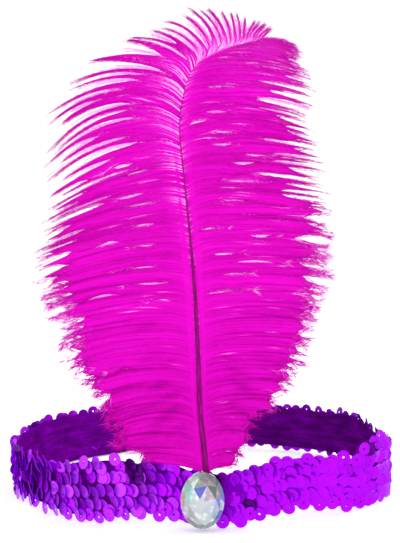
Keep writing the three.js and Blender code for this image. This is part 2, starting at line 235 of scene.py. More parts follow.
def make_piece(name, points, faces, material, uv=None, values=None, sharp=None):
    """A mesh object at the origin. faces is one array, or several with different numbers of corners.
    uv has two numbers for each point. values holds named numbers or colours, for each point or each face."""
    faces = [faces] if isinstance(faces, np.ndarray) else list(faces)
    corners = np.concatenate([f.ravel() for f in faces]).astype(np.int32)
    sizes = np.concatenate([np.full(len(f), f.shape[1]) for f in faces])
    mesh = bpy.data.meshes.new(name)
    points = np.asarray(points, np.float32).reshape(-1, 3)
    mesh.vertices.add(len(points))
    mesh.vertices.foreach_set("co", points.ravel())
    mesh.loops.add(len(corners))
    mesh.loops.foreach_set("vertex_index", corners)
    mesh.polygons.add(len(sizes))
    mesh.polygons.foreach_set("loop_start", np.cumsum(sizes) - sizes)
    mesh.polygons.foreach_set("use_smooth", np.full(len(sizes), sharp != 0))
    mesh.update(calc_edges=True)
    if uv is not None:
        layer = mesh.uv_layers.new(name="UVMap")
        layer.data.foreach_set("uv", np.asarray(uv, np.float32).reshape(-1, 2)[corners].ravel())
    for key, numbers in (values or {}).items():
        numbers = np.asarray(numbers, np.float32)
        colour = numbers.ndim == 2
        kind = "FLOAT_COLOR" if colour else "FLOAT"
        domain = "POINT" if len(numbers) == len(points) else "FACE"
        attribute = mesh.attributes.new(key, kind, domain)
        attribute.data.foreach_set("color" if colour else "value", numbers.ravel())
    if sharp:
        mesh.set_sharp_from_angle(angle=math.radians(sharp))
    mesh.materials.append(material)
    piece = bpy.data.objects.new(name, mesh)
    bpy.context.scene.collection.objects.link(piece)
    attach(piece, "root")
    triangles = int((sizes - 2).sum())
    low, high = points.min(0) / MM, points.max(0) / MM
    print(f"{name}: {triangles} triangles, {np.round(low, 1).tolist()} to {np.round(high, 1).tolist()} mm")
    return piece

# %% [markdown]
# The band is a closed loop that waves up and down a little, as soft elastic does when it is stood on its
# edge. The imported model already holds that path: each plain sequin row is a ribbon with four points at
# every station. Reading the path from there keeps the fine surface on the solid, which a formula of its
# own might miss. A spline through the stations then gives any place between them.

# %% The path of the band
def node_points(node):
    """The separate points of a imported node. Its mesh repeats each point for every face that meets there."""
    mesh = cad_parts[node].data
    points = np.zeros(len(mesh.vertices) * 3, np.float32)
    mesh.vertices.foreach_get("co", points)
    return np.unique(np.round(points.reshape(-1, 3).astype(float), 7), axis=0)


ribbon = node_points("sequin_row_3")
STATIONS = len(ribbon) // 4
turn = np.arctan2(ribbon[:, 0], -(ribbon[:, 1] - LOOP_MIDDLE[1])) / (2 * np.pi)
stations = ribbon[np.argsort((turn + 0.5 / STATIONS) % 1)].reshape(STATIONS, 4, 3)
radii = np.linalg.norm((stations - LOOP_MIDDLE)[..., :2], axis=-1)
outer_edge = np.take_along_axis(stations, np.argmax(radii, 1)[:, None, None], 1)[:, 0, :2]
lift = stations[..., 2].min(1) - stations[..., 2].min()
loop_path = np.column_stack([outer_edge, lift])


def on_loop(place):
    """A place on the outside of the band, counted in stations from the front towards +X. It is a Catmull-Rom
    spline: half of 2 p1 + (p2 - p0) s + (2 p0 - 5 p1 + 4 p2 - p3) s^2 + (3 p1 - p0 - 3 p2 + p3) s^3.
    Returns the point at the band's foot, the way along the band and the way out of it."""
    whole = np.floor(place).astype(int)
    s = (place - whole)[..., None]
    p0, p1, p2, p3 = (loop_path[(whole + k) % STATIONS] for k in (-1, 0, 1, 2))
    squared, cubed = 2 * p0 - 5 * p1 + 4 * p2 - p3, 3 * p1 - p0 - 3 * p2 + p3
    point = (2 * p1 + (p2 - p0) * s + squared * s**2 + cubed * s**3) / 2
    along = (p2 - p0 + 2 * squared * s + 3 * cubed * s**2) / 2
    along = unit(along * [1, 1, 0])
    out = np.stack([along[..., 1], -along[..., 0], np.zeros(along.shape[:-1])], -1)
    return point, along, out


BAND_HEIGHT = 22.5 * MM
# Station, then how far the lower edge hangs down and in there, and how far the upper one rises, in mm
SLACK = np.array([
    (0, 0, 0, 0), (10.6, 0, 0, 0), (11.1, 0, 0, 6.5), (12, 0, 0, 8), (14, 0, 0, 8), (15.5, 0, 0, 5),
    (17, 0, 0, 2), (19, 0, 0, 0.5), (23.5, 0, 0, 0.2), (25, 0, 0, 1), (27, 0, 0, 2.8), (28, 0, 0, 2.6),
    (31, 1.4, 1.5, 1.2), (35, 2, 2.5, 0), (38, 1.2, 1, 0), (40, 0, 0, 0), (45, 0.4, 1, 0), (48, 4.2, 5, 0),
    (50, 6, 9.5, 0.2), (53, 6.6, 10.5, 0.2), (57, 6.6, 8.5, 0), (61, 5.2, 7, 0), (65, 2.2, 2.5, 0),
    (70, 0, 0, 0),
    (75, 0, 0, 0.8), (76, 0, 0, 3.4), (77, 0, 0, 4.4), (78, 0, 0, 4.4), (79, 0, 0, 3.2), (80, 0, 0, 0.8),
    (80.6, 0, 0, 2.2), (82, 0, 0, 2.6), (82.6, 0, 0, 1.6), (83.2, 0, 0, 0), (84, 0, 0, 0),
])


def slack(place, height):
    """How soft elastic sags: how far it rises and how far it goes inwards at a height above the foot. The
    lower edge hangs in proportion to 1 less the share of the height, and the upper one rises by the share
    squared."""
    share = height / BAND_HEIGHT
    down, inwards, rise = (MM * np.interp(place % STATIONS, SLACK[:, 0], SLACK[:, k]) for k in (1, 2, 3))
    return rise * share**2 - down * (1 - share), inwards * (1 - share)


def beside_loop(foot, out, depth, height):
    """Points at a depth inside the outside of the band, and at a height above the table."""
    return foot * [1, 1, 0] - out * depth[..., None] + height[..., None] * [0, 0, 1]


station_gap = np.linalg.norm(np.diff(loop_path, axis=0)[:, :2], axis=1).mean()
print(f"{STATIONS} stations, {station_gap / MM:.2f} mm apart, waving up to {lift.max() / MM:.1f} mm")

# %% [markdown]
# Inside the loop one sees the bare elastic: a knitted tape with cords running round it, gathered a little
# at each stitch. It could be a plain strip with a bump map, but the ribs catch the light and show at the
# rim, so they are real relief: the inner face is pushed in and out by a wave across the tape for the cords
# and a wave along it for the gathers.

# %% Elastic tape
TAPE_DEPTH = 1.9 * MM        # from the outside of the sequins to the tape
TAPE_THICKNESS = 1.2 * MM
TAPE_CORDS = 13              # cords across the tape
CORD_RELIEF = 0.07 * MM
GATHER_RELIEF = 0.05 * MM
GATHERS_PER_STATION = 2
UNEVENNESS = 0.03 * MM       # from one step along the tape to the next
TAPE_CLEARANCE = 0.5 * MM    # between the tape and the table where it sags
tape_low, tape_high = 2.2 * MM, 20.08 * MM   # its edges, above the band's foot
STEPS_PER_STATION, INNER_STEPS, OUTER_STEPS = 8, 66, 5


def tape_section():
    """Across the tape: up its outer face, over the rim, down its inner face and under, as pairs of how far
    up it is (0 to 1) and how far in (0 to 1). The corners are drawn in so that the rims look soft."""
    outer, inner = np.linspace(0.02, 0.98, OUTER_STEPS), np.linspace(0.985, 0.015, INNER_STEPS)
    up = np.concatenate([outer, [1.0], inner, [0.0]])
    deep = np.concatenate([np.zeros(OUTER_STEPS), [0.5], np.ones(INNER_STEPS), [0.5]])
    return up, deep


along_steps = STEPS_PER_STATION * STATIONS
place = np.arange(along_steps) / STEPS_PER_STATION
foot, way, out = on_loop(place)
up, deep = tape_section()
cords = np.cos(2 * np.pi * TAPE_CORDS * up) * CORD_RELIEF
gathers = np.cos(2 * np.pi * GATHERS_PER_STATION * place) * GATHER_RELIEF
gathers = (gathers + rng.normal(0, UNEVENNESS, along_steps))[:, None] * (0.6 + 0.4 * np.cos(6 * np.pi * up))
relief = (deep == 1) * np.sin(np.pi * up) ** 0.3 * (cords + gathers)
depth = TAPE_DEPTH + deep * TAPE_THICKNESS + relief
height = tape_low + up[None] * (tape_high - tape_low)
rise, inwards = slack(place[:, None], height)
height = np.maximum(foot[:, None, 2] + height + rise, TAPE_CLEARANCE)
tape = beside_loop(foot[:, None], out[:, None], depth + inwards, height)
tape_uv = np.broadcast_arrays(place[:, None] * station_gap, (up * (tape_high - tape_low))[None])

# %% Finish of the tape
# Painted shade: the inside of the loop is made darker over its far right and back, for the shade it lies in.
BACK_SHADE_DEPTH = 0.1              # how much darker the painted shade is there, as a share of the colour ramp
BACK_SHADE_PLACES = [20, 24, 49, 52]       # stations where the painted shade starts, is full, starts to fade and ends

elastic, shader = new_material("elastic_weave", Roughness=0.8, Specular_IOR_Level=0.0)
weave = noise(elastic, uv_place(elastic, (900, 4300, 1)), detail=3)
worn = noise(elastic, uv_place(elastic, (70, 330, 1)))
halved = combine(elastic, "MULTIPLY", combine(elastic, "ADD", weave, worn), 0.5)
shaded_weave = combine(elastic, "SUBTRACT", halved, point_number(elastic, "back_shade"))
colour = ramp(elastic, shaded_weave,
              [(0.26, srgb(52, 0, 74)), (0.36, srgb(70, 0, 94)), (0.5, srgb(98, 0, 130)),
               (0.64, srgb(132, 0, 178))])
link(elastic, colour, shader, "Base Color")
bump(elastic, weave, shader, 0.5, 0.15 * MM)

tape_faces = grid_faces(along_steps, len(up), wrap_rows=True, wrap_columns=True)[:, ::-1]
deeper = BACK_SHADE_DEPTH * np.interp(place, BACK_SHADE_PLACES, [0, 1, 1, 0])
tape_piece = make_piece("elastic_tape", tape, tape_faces, elastic, uv=np.stack(tape_uv, -1),
                        values={"back_shade": np.repeat(deeper, len(up))}, sharp=50)
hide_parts("elastic_band")

# %% [markdown]
# The outside is covered with flat round sequins, each a thin cupped disc with a hole for its thread. They
# overlap like roof tiles, because the elastic draws them closer together than their own width, so each one
# leans on the next. Instances of one mesh would do, but joining them into one mesh keeps the piece whole.
# All the discs are therefore one small template that is turned and moved by arrays.

# %% One sequin
SEQUIN_RADIUS = 2.7 * MM
HOLE_RADIUS = 0.42 * MM
KNOT_RADIUS = 0.03 * MM      # what a knot of thread leaves open of the hole
CUP_DEPTH = 0.22 * MM
FILM_THICKNESS = 0.1 * MM
DISC_SIDES = 16
RINGS = 5                    # hole, inside the rim and rim on the front, then rim and hole on the back
ring_radius = np.array([HOLE_RADIUS, 0.82 * SEQUIN_RADIUS, SEQUIN_RADIUS, SEQUIN_RADIUS,
                        HOLE_RADIUS])[:, None]
ring_height = (CUP_DEPTH * np.array([-1, -0.2, 0, 0, -1])
               + FILM_THICKNESS * np.array([0.5, 0.5, 0.5, -0.5, -0.5]))
# Painted shade: each sequin's rim is darker on the front and its back darker still, for the shade that
# overlapping neighbours cast.
ring_painted_shade = np.array([0.03, 0.03, -0.11, -0.24, -0.24])
angle = circle(DISC_SIDES)
rings = [ring_radius * np.cos(angle), ring_radius * np.sin(angle), ring_height[:, None]]
disc = np.stack(np.broadcast_arrays(*rings), -1)
knotted = disc.copy()
knotted[[0, -1], :, :2] *= KNOT_RADIUS / HOLE_RADIUS
disc, knotted = disc.reshape(-1, 3), knotted.reshape(-1, 3)
disc_faces = grid_faces(RINGS, DISC_SIDES, wrap_rows=True, wrap_columns=True)[:, ::-1]
print(f"one sequin: {len(disc)} points, {len(disc_faces)} faces")

# %% [markdown]
# The sequins stand in five rows, two to a station, each row half a step on from the one below. None sits
# quite where it should, and every other one on the edges is drawn in, which gives the scalloped outline.

# %% Where each sequin sits
ROWS = 5
SEQUIN_DEPTH = 0.75 * MM     # how far a sequin's middle lies inside the outside of the band
SCALLOP_DEPTH = 1.3 * MM     # how far every other edge sequin is drawn in
ROW_STAGGER = 0.2 * MM       # odd rows stand this far outside the even ones
PLACE_SPREAD = 0.28          # how unevenly they sit along a row, in sequins
HEIGHT_SPREAD, DEPTH_SPREAD = 0.44 * MM, 0.1 * MM
row_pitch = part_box("sequin_row_4")[0].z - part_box("sequin_row_3")[0].z
middle_row = stations[..., 2].mean() - lift.mean()
row = np.repeat(np.arange(ROWS), 2 * STATIONS)
order = np.tile(np.arange(2 * STATIONS), ROWS)
count = len(row)
edge_row = np.where(row == 0, 1, np.where(row == ROWS - 1, -1, 0))
drawn_in = edge_row * SCALLOP_DEPTH * (order % 2 == 0)
place = (order + PLACE_SPREAD * rng.normal(0, 1, count)) / 2 + 0.5 * (row % 2)
foot, way, out = on_loop(place)
height = middle_row + (row - 2) * row_pitch + drawn_in + rng.normal(0, HEIGHT_SPREAD, count)
rise, inwards = slack(place, height)
in_depth = SEQUIN_DEPTH + ROW_STAGGER * (row % 2 - 0.5) + rng.normal(0, DEPTH_SPREAD, count) + inwards
centre = beside_loop(foot, out, in_depth, np.maximum(foot[:, 2] + height + rise, SEQUIN_RADIUS))
print(f"{count} sequins, {station_gap / 2 / MM:.2f} mm apart in each row")

# %% [markdown]
# How a sequin is turned decides how bright it looks, and that changes round the loop: seen from the front,
# the left end shows them edge-on and wild, and the right front almost flat. Tables by the station give the
# usual turn and a painted light and shade, and each sequin adds a random part of its own. Three turns follow
# each other: the lean, about an upright that is itself tilted, and the nod, about the line across the sequin.

# %% How each sequin is turned
LEAN = np.array([            # station, and the usual lean there in degrees, clockwise seen from above
    (0, 24), (19, 24), (21.3, 30), (22.5, 2), (30, 8), (42, 18), (62, 22), (68, 25), (80, 25), (84, 24),
])
EDGE_LEAN = 0.6              # how much of that the sequins of the lower edge have
LEAN_TILT = 24               # degrees that the axis of that turn tilts, its top to the left on the front
LEAN_SPREAD, TILT_SPREAD, NOD, NOD_SPREAD = 7.5, 16, 3.0, 5.2    # degrees
EDGE_ON_PLACE, EDGE_ON_WIDTH = 67, 6     # the stations round the left end, where the loop is seen edge-on
EDGE_ON_SPREAD = 2.2         # how much wilder they lie there
edge_on = np.exp(-((place - EDGE_ON_PLACE) / EDGE_ON_WIDTH) ** 2)
wild = 1 + (EDGE_ON_SPREAD - 1) * edge_on
usual_lean = np.interp(place % STATIONS, LEAN[:, 0], LEAN[:, 1]) * np.where(row == 0, EDGE_LEAN, 1)
lean = np.radians(usual_lean + wild * rng.normal(0, LEAN_SPREAD, count))[:, None]
tilt = np.radians(LEAN_TILT * (1 - edge_on) + rng.normal(0, TILT_SPREAD, count))[:, None]
nod = np.radians(NOD + wild * rng.normal(0, NOD_SPREAD, count))[:, None]
level = way * np.cos(tilt) + np.array([0, 0, 1.0]) * np.sin(tilt)
across = level * np.cos(lean) + out * np.sin(lean)
facing = out * np.cos(lean) - level * np.sin(lean)
upright = np.cross(facing, across)
facing, upright = facing * np.cos(nod) + upright * np.sin(nod), upright * np.cos(nod) - facing * np.sin(nod)
turned = np.stack([across, upright, facing], 1)
template = np.where((edge_row != 0)[:, None, None], disc, knotted)
discs = np.einsum("npk,nkx->npx", template, turned) + centre[:, None]

# %% Painted light and shade of each sequin
# Painted light and shade: the station table lifts the sequins' colour where their turn leaves them too dark
# and deepens it towards the right end. The wider spread edge-on stands for painted highlights on sequins that
# catch the light there.
USUAL_SHADE, SHADE_CHANGE = 0.6, 0.3
PAINTED_LIGHT_AND_SHADE = np.array([        # station, and how much of that change is added there
    (0, 0.4), (4, 0), (9, 0), (13, -0.45), (17, -0.45), (20, 0), (60, 0), (64, 1), (80, 1), (84, 0.4),
])
SHADE_SPREAD, EDGE_ON_SHADES = 0.06, 0.16    # how unlike their shades are, and how much more so edge-on
SHADE_RANGE = 0.42, 1.2
SPOT_SHADE = 0.18
# These sequins are not turned away: their colour is painted dark, a painted shade.
PAINTED_DARK_SPOTS = [(4, -27), (4, -24), (3, -25.5), (1, 17), (4, 67), (4, 5)]  # row and x in mm, painted shade
at_front = centre[:, 1] < LOOP_MIDDLE[1]
bright = USUAL_SHADE + SHADE_CHANGE * np.interp(place % STATIONS, PAINTED_LIGHT_AND_SHADE[:, 0], PAINTED_LIGHT_AND_SHADE[:, 1])
painted_and_own_shade = np.clip(rng.normal(bright, SHADE_SPREAD + EDGE_ON_SHADES * edge_on), *SHADE_RANGE)
for dark_row, dark_x in PAINTED_DARK_SPOTS:
    distance = np.abs(centre[:, 0] - dark_x * MM)
    painted_and_own_shade[np.argmin(np.where(at_front & (row == dark_row), distance, np.inf))] = SPOT_SHADE
shade = painted_and_own_shade[:, None] + np.repeat(ring_painted_shade, DISC_SIDES)

# %% [markdown]
# The film is metallised plastic. Full metal would mirror the white room and lose its violet, so it is half
# metal over a strong colour, with a faint haze that changes its gloss and its tone from place to place.

# %% Finish of the sequins
sequin_film, shader = new_material("sequin_film", Metallic=0.5, Roughness=0.34, Specular_IOR_Level=0.06)
haze = noise(sequin_film, object_place(sequin_film), 900)
hazy_shade = combine(sequin_film, "ADD", between(sequin_film, haze, -0.12, 0.12),
                     point_number(sequin_film, "shade"))
colour = ramp(sequin_film, hazy_shade,
              [(0.05, srgb(36, 0, 56)), (0.22, srgb(84, 0, 126)), (0.36, srgb(146, 1, 204)),
               (0.5, srgb(174, 1, 236)), (0.8, srgb(182, 6, 244)), (1.0, srgb(200, 60, 250))])
link(sequin_film, colour, shader, "Base Color")
link(sequin_film, between(sequin_film, haze, 0.16, 0.34), shader, "Roughness")
bump(sequin_film, haze, shader, 0.25, 0.1 * MM)
sequins = make_piece("sequins", discs, repeat_faces(disc_faces, count, len(disc)), sequin_film,
                     values={"shade": shade.ravel()}, sharp=40)
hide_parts(*[f"sequin_row_{i + 1}" for i in range(ROWS)])

# %% [markdown]
# Behind each sequin a stitch holds its thread down. The stitches show on the inside of the far half as
# short raised dashes in rows. Each is a small spindle: a ring whose radius follows a half wave.

# %% Stitches inside the band
STITCH_LENGTH = 2.1 * MM
STITCH_RADIUS = 0.17 * MM
STITCH_SIDES, STITCH_RINGS = 5, 5
STITCH_LIFT = 0.08 * MM      # from the tape to the middle of a stitch
ring_share = (np.arange(STITCH_RINGS) + 0.3) / (STITCH_RINGS - 0.4)
swell = (np.sin(np.pi * ring_share) ** 0.5 * STITCH_RADIUS)[:, None]
angle = circle(STITCH_SIDES)
rings = [((ring_share - 0.5) * STITCH_LENGTH)[:, None], swell * np.cos(angle), swell * np.sin(angle)]
spindle = np.stack(np.broadcast_arrays(*rings), -1).reshape(-1, 3)
place = np.tile(np.arange(2 * STATIONS) / 2, ROWS)
height = np.repeat(middle_row + (np.arange(ROWS) - 2) * row_pitch, 2 * STATIONS)
foot, way, out = on_loop(place + rng.normal(0, 0.04, len(place)))
rise, inwards = slack(place, height)
slant = rng.normal(0, 0.16, len(place))[:, None]
stitch_x = unit(way + slant * [0, 0, 1])
stitch_z = unit(np.cross(out, stitch_x))
stitch_height = foot[:, 2] + height + rise + rng.normal(0, 0.12 * MM, len(place))
stitch_height = np.maximum(stitch_height, 2 * TAPE_CLEARANCE)
stitch_at = beside_loop(foot, out, TAPE_DEPTH + TAPE_THICKNESS + STITCH_LIFT + inwards, stitch_height)
stitches = np.einsum("pk,nkx->npx", spindle, np.stack([stitch_x, out, -stitch_z], 1)) + stitch_at[:, None]
thread, shader = new_material("sewing_thread", Roughness=0.6, Specular_IOR_Level=0.0)
twist = noise(thread, object_place(thread), 1800)
link(thread, ramp(thread, twist, [(0.3, srgb(66, 0, 94)), (0.7, srgb(104, 0, 142))]), shader, "Base Color")
bump(thread, twist, shader, 0.6, 0.1 * MM)
make_piece("stitches", stitches, rod_faces(STITCH_RINGS, STITCH_SIDES, len(place)), thread,
           sharp=60)

# %% [markdown]
# The pad between the sequins and the stone is stiff felt, and all but hidden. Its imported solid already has
# the right shape, so it stays and gets a felt finish: matted fibres, uneven in colour and height.

# %% Felt pad
felt, shader = new_material("pad_felt", Roughness=0.95, Sheen_Weight=0.4)
fibres = noise(felt, object_place(felt), 1400, detail=4, distortion=1.5)
link(felt, ramp(felt, fibres, [(0.3, srgb(60, 4, 96)), (0.7, srgb(104, 14, 150))]), shader, "Base Color")
bump(felt, fibres, shader, 0.8, 0.3 * MM)
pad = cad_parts["mounting_pad"]
pad.data.materials.clear()
pad.data.materials.append(felt)
print("felt on", pad.name)

# %% [markdown]
# The stone is cut acrylic with a foil back and an iridescent coating. Looking in, one sees flat patches of
# pale mint and white, and some of blue, violet, teal and pink, each with straight edges. Glass with real
# refraction would need a great many samples for so small a thing, so each facet is a flat opaque face with
# the tint that the foil shows through it, under a clear coat that gives the gloss.

# %% The cut of the stone
stone_low, stone_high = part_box("stone")
STONE_MIDDLE = np.array([(stone_low.x + stone_high.x) / 2, 0, (stone_low.z + stone_high.z) / 2])
HALF_WIDTH, HALF_HEIGHT = (stone_high.x - stone_low.x) / 2, (stone_high.z - stone_low.z) / 2
GIRDLE = 1.4 * MM
CROWN = stone_high.y - stone_low.y - GIRDLE
FIRST_ANGLE = 10             # degrees from +X to the first corner of the inner rings, counterclockwise


def stone_ring(size, crown_share, corners, first, aside=(0, 0)):
    """Corners of an upright oval: size times its half width and half height, turned by first degrees."""
    angle = np.radians(first + np.arange(corners) * 360 / corners)
    y = stone_high.y - GIRDLE - CROWN * crown_share
    x = STONE_MIDDLE[0] + HALF_WIDTH * (size * np.cos(angle) + aside[0])
    z = STONE_MIDDLE[2] + HALF_HEIGHT * (size * np.sin(angle) + aside[1])
    return np.stack([x, np.full(corners, y), z], -1)


RIM_CORNERS, BELT_CORNERS, TABLE_CORNERS = 24, 12, 6
stone_rings = [
    stone_ring(1, -GIRDLE / CROWN, RIM_CORNERS, FIRST_ANGLE),
    stone_ring(1, 0, RIM_CORNERS, FIRST_ANGLE),
    stone_ring(0.83, 0.52, BELT_CORNERS, FIRST_ANGLE),
    stone_ring(0.62, 0.84, TABLE_CORNERS, FIRST_ANGLE),
    stone_ring(0.2, 1, TABLE_CORNERS, FIRST_ANGLE + 30, aside=(-0.08, -0.08)),
]
starts = np.cumsum([0] + [len(ring) for ring in stone_rings])


def belt(inner, outer):
    """Triangles between a ring and the one outside it, which has twice as many corners. Each corner of the
    inner ring meets three of the outer one."""
    corners = len(stone_rings[inner])
    corner = np.arange(corners)
    here, beyond = starts[inner] + corner, starts[inner] + (corner + 1) % corners
    first, second, third = (starts[outer] + (2 * corner + k) % (2 * corners) for k in (0, 1, 2))
    triangles = (here, first, second), (here, second, beyond), (beyond, second, third)
    return np.concatenate([np.stack(triangle, -1) for triangle in triangles])


corner = np.arange(TABLE_CORNERS)
beyond = (corner + 1) % TABLE_CORNERS
table, round_table = starts[4], starts[3]
star = np.concatenate([
    np.stack([table + corner, round_table + corner, round_table + beyond], -1),
    np.stack([table + corner, round_table + beyond, table + beyond], -1),
])
facets = np.concatenate([star, belt(3, 2), belt(2, 1)])
side_faces = grid_faces(2, RIM_CORNERS, wrap_columns=True)
stone_points = np.concatenate(stone_rings)
flats = [facets, side_faces, table + corner[None], np.arange(RIM_CORNERS)[None, ::-1]]
print(f"stone: {len(facets)} facets")

# %% [markdown]
# The tints are painted: three tables give the colour that shows in each facet, by its place round the
# stone, partly the coating's own colours and partly painted reflections, pale and dark. Each facet is then
# made a little lighter or darker, a painted shade, as no two lie at quite the same angle.

# %% Tints of the facets
STAR_TINTS = [               # counterclockwise from the upper right, first those that point inwards
    (196, 178, 196), (92, 88, 218), (206, 232, 224), (226, 234, 226), (222, 232, 224), (216, 226, 236),
    (226, 228, 232), (236, 240, 244), (232, 240, 234), (226, 236, 228), (214, 228, 222), (232, 230, 240),
]
BELT_TINTS = {               # of the inner belt, by the angle of the facet from +X, counterclockwise
    -110: (222, 232, 224), -75: (216, 230, 224), -45: (188, 216, 220), -20: (206, 214, 244),
    3: (96, 130, 222), 20: (206, 178, 198), 41: (104, 122, 108), 60: (132, 136, 140), 80: (182, 138, 166),
    105: (150, 170, 160), 130: (212, 230, 212), 150: (160, 220, 206), 175: (226, 234, 232),
    200: (222, 230, 232), 225: (216, 226, 220),
}
RIM_TINTS = {                # of the rim
    -125: (158, 158, 164), -100: (150, 156, 150), -75: (166, 188, 194), -52: (96, 160, 184),
    -30: (52, 72, 200), -10: (214, 216, 250), 10: (62, 104, 206), 30: (120, 130, 152), 50: (84, 90, 94),
    70: (110, 92, 116), 90: (150, 160, 164), 110: (164, 184, 172), 130: (226, 240, 226),
    150: (188, 230, 224), 170: (204, 164, 140), 190: (208, 206, 206), 212: (216, 206, 212),
}


def nearest_tints(table, angles):
    """The colour whose angle in the table is nearest to each angle, going round."""
    at = np.array(list(table))
    apart = np.abs((angles[:, None] - at + 180) % 360 - 180)
    return np.array(list(table.values()), float)[apart.argmin(1)]


GIRDLE_TINT, TABLE_TINT, FOIL_TINT = (150, 158, 160), (228, 236, 230), (90, 96, 100)
FACET_BRIGHTNESS = 0.84, 1.02
belt_facets = 3 * TABLE_CORNERS
outer_facets = facets[len(star):]
towards = stone_points[outer_facets].mean(1) - STONE_MIDDLE
facet_angle = np.degrees(np.arctan2(towards[:, 2] / HALF_HEIGHT, towards[:, 0] / HALF_WIDTH))
tints = np.concatenate([np.array(STAR_TINTS, float), nearest_tints(BELT_TINTS, facet_angle[:belt_facets]),
                        nearest_tints(RIM_TINTS, facet_angle[belt_facets:])])
bright = np.concatenate([np.ones(len(star)), rng.uniform(*FACET_BRIGHTNESS, len(outer_facets))])
tints = np.clip(tints * bright[:, None], 0, 255)
others = np.concatenate([np.tile([GIRDLE_TINT], (RIM_CORNERS, 1)), [TABLE_TINT, FOIL_TINT]])
face_tints = np.array([srgb(*tint) for tint in np.concatenate([tints, others])])

# %% Finish of the stone
acrylic, shader = new_material("coated_acrylic", Roughness=0.08, Metallic=0.15, Coat_Weight=1.0)
shader.inputs["Coat Roughness"].default_value = 0.02
shader.inputs["Coat IOR"].default_value = 1.6
facet_tint = add_node(acrylic, "ShaderNodeAttribute", attribute_name="tint", attribute_type="GEOMETRY")
# Painted reflections: small cells of pale and grey break up each facet, for the facets behind it mirrored
# through the stone.
pavilion_reflections = add_node(acrylic, "ShaderNodeTexVoronoi",
                     {"Vector": object_place(acrylic), "Scale": 420, "Randomness": 0.9}, distance="MANHATTAN")
pale = ramp(acrylic, pavilion_reflections.outputs["Distance"],
            [(0.0, srgb(250, 240, 248)), (0.35, srgb(224, 218, 225)), (0.7, srgb(144, 150, 164))])
mix = add_node(acrylic, "ShaderNodeMix", {"Factor": 0.55, 6: facet_tint.outputs["Color"], 7: pale},
               data_type="RGBA", blend_type="MULTIPLY")
link(acrylic, mix.outputs[2], shader, "Base Color")
stone_piece = make_piece("faceted_stone", stone_points, flats, acrylic, values={"tint": face_tints},
                         sharp=0)
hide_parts("stone")

# %% [markdown]
# The quill carries everything in the plume, so its path is set first. It rises from behind the stone, bows
# a little to the left and curls over to the right at the top. A few heights with how far aside and how far
# back the quill is there are enough, because a smooth curve joins them.

# %% The path of the quill
SHAFT_RISE = 156 * MM        # from the first barbs to the end of the quill
QUILL_WIDTH, QUILL_DEPTH = 2.8 * MM, 2.4 * MM
QUILL_TIP_SHARE = 0.25       # its thickness at the end, as a share of that at its foot
QUILL_INSERT = 17 * MM       # quill below the first barbs
LINE_STEPS = 400
SHAFT = np.array([           # rise, aside and lean, as shares of the rise
    (0, 0, 0), (0.133, -0.014, 0.004), (0.266, -0.019, 0.008), (0.433, -0.028, 0.012), (0.567, -0.04, 0.012),
    (0.713, -0.055, 0.008), (0.789, -0.062, 0.001), (0.836, -0.061, -0.004), (0.875, -0.054, -0.009),
    (0.919, -0.042, -0.018), (0.95, -0.021, -0.027), (0.967, 0.005, -0.034), (0.982, 0.04, -0.04),
    (0.992, 0.079, -0.049), (1, 0.121, -0.055),
])
foot_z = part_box("plume")[0].z
quill_points = node_points("feather_shaft")
PLUME_FOOT = quill_points[np.abs(quill_points[:, 2] - foot_z) < 0.6 * MM].mean(0) * [1, 1, 0] + [0, 0, foot_z]


def smooth_path(knots, count):
    """A centripetal Catmull-Rom curve through the knots, at even steps of length. Knot times grow by the
    square root of each gap, and a knot's slope is the two slopes beside it less the one across both."""
    ends = np.vstack([2 * knots[0] - knots[1], knots, 2 * knots[-1] - knots[-2]])
    time = np.concatenate([[0], np.cumsum(np.linalg.norm(np.diff(ends, axis=0), axis=1) ** 0.5)])
    step = np.diff(time)[:, None]
    slope = np.diff(ends, axis=0) / step
    at_knot = slope[:-1] + slope[1:] - (ends[2:] - ends[:-2]) / (step[:-1] + step[1:])
    fine = np.linspace(time[1], time[-2], 3000)
    k = np.clip(np.searchsorted(time, fine, side="right") - 1, 1, len(time) - 3)
    h = step[k]
    s = (fine[:, None] - time[k, None]) / h
    curve = ((2 * s**3 - 3 * s**2 + 1) * ends[k] + (s**3 - 2 * s**2 + s) * h * at_knot[k - 1]
             + (3 * s**2 - 2 * s**3) * ends[k + 1] + (s**3 - s**2) * h * at_knot[k])
    length = np.concatenate([[0], np.cumsum(np.linalg.norm(np.diff(curve, axis=0), axis=1))])
    even = np.linspace(0, length[-1], count)
    return np.stack([np.interp(even, length, curve[:, axis]) for axis in range(3)], -1)


shaft_line = smooth_path(PLUME_FOOT + SHAFT_RISE * SHAFT[:, [1, 2, 0]], LINE_STEPS)
print("the quill, mm:", np.round(shaft_line[[0, -1]] / MM, 1).tolist())

# %% [markdown]
# The quill itself is a tapering rod with a shallow groove down its front. It is a ring of points carried
# along the path: the ring's radius shrinks with height, and dips where it faces the front. It is dark at
# its foot, and grows paler towards its end, where it is thin and the light comes through.

# %% Quill
QUILL_SIDES, QUILL_STEPS, FOOT_STEPS = 20, 120, 12
GROOVE_DEPTH = 0.22          # of the radius
GROOVE_WIDTH = 0.5           # radians
PALER_END = 0.32             # how much paler the tone is at the upper end
from_foot = np.linspace(-1, -1 / 12, FOOT_STEPS)[:, None]
below = PLUME_FOOT + from_foot * QUILL_INSERT * unit(shaft_line[4] - shaft_line[0])
line = np.vstack([below, shaft_line[np.linspace(0, LINE_STEPS - 1, QUILL_STEPS).astype(int)]])
share = np.concatenate([np.zeros(FOOT_STEPS), np.linspace(0, 1, QUILL_STEPS)])
taper = 1 + (QUILL_TIP_SHARE - 1) * share**0.55
aside, forwards = square_to(unit(np.gradient(line, axis=0)))
angle = circle(QUILL_SIDES)
from_front = np.abs((angle - np.pi / 2 + np.pi) % (2 * np.pi) - np.pi)
ring = 1 - GROOVE_DEPTH * np.exp(-(from_front / GROOVE_WIDTH) ** 2)
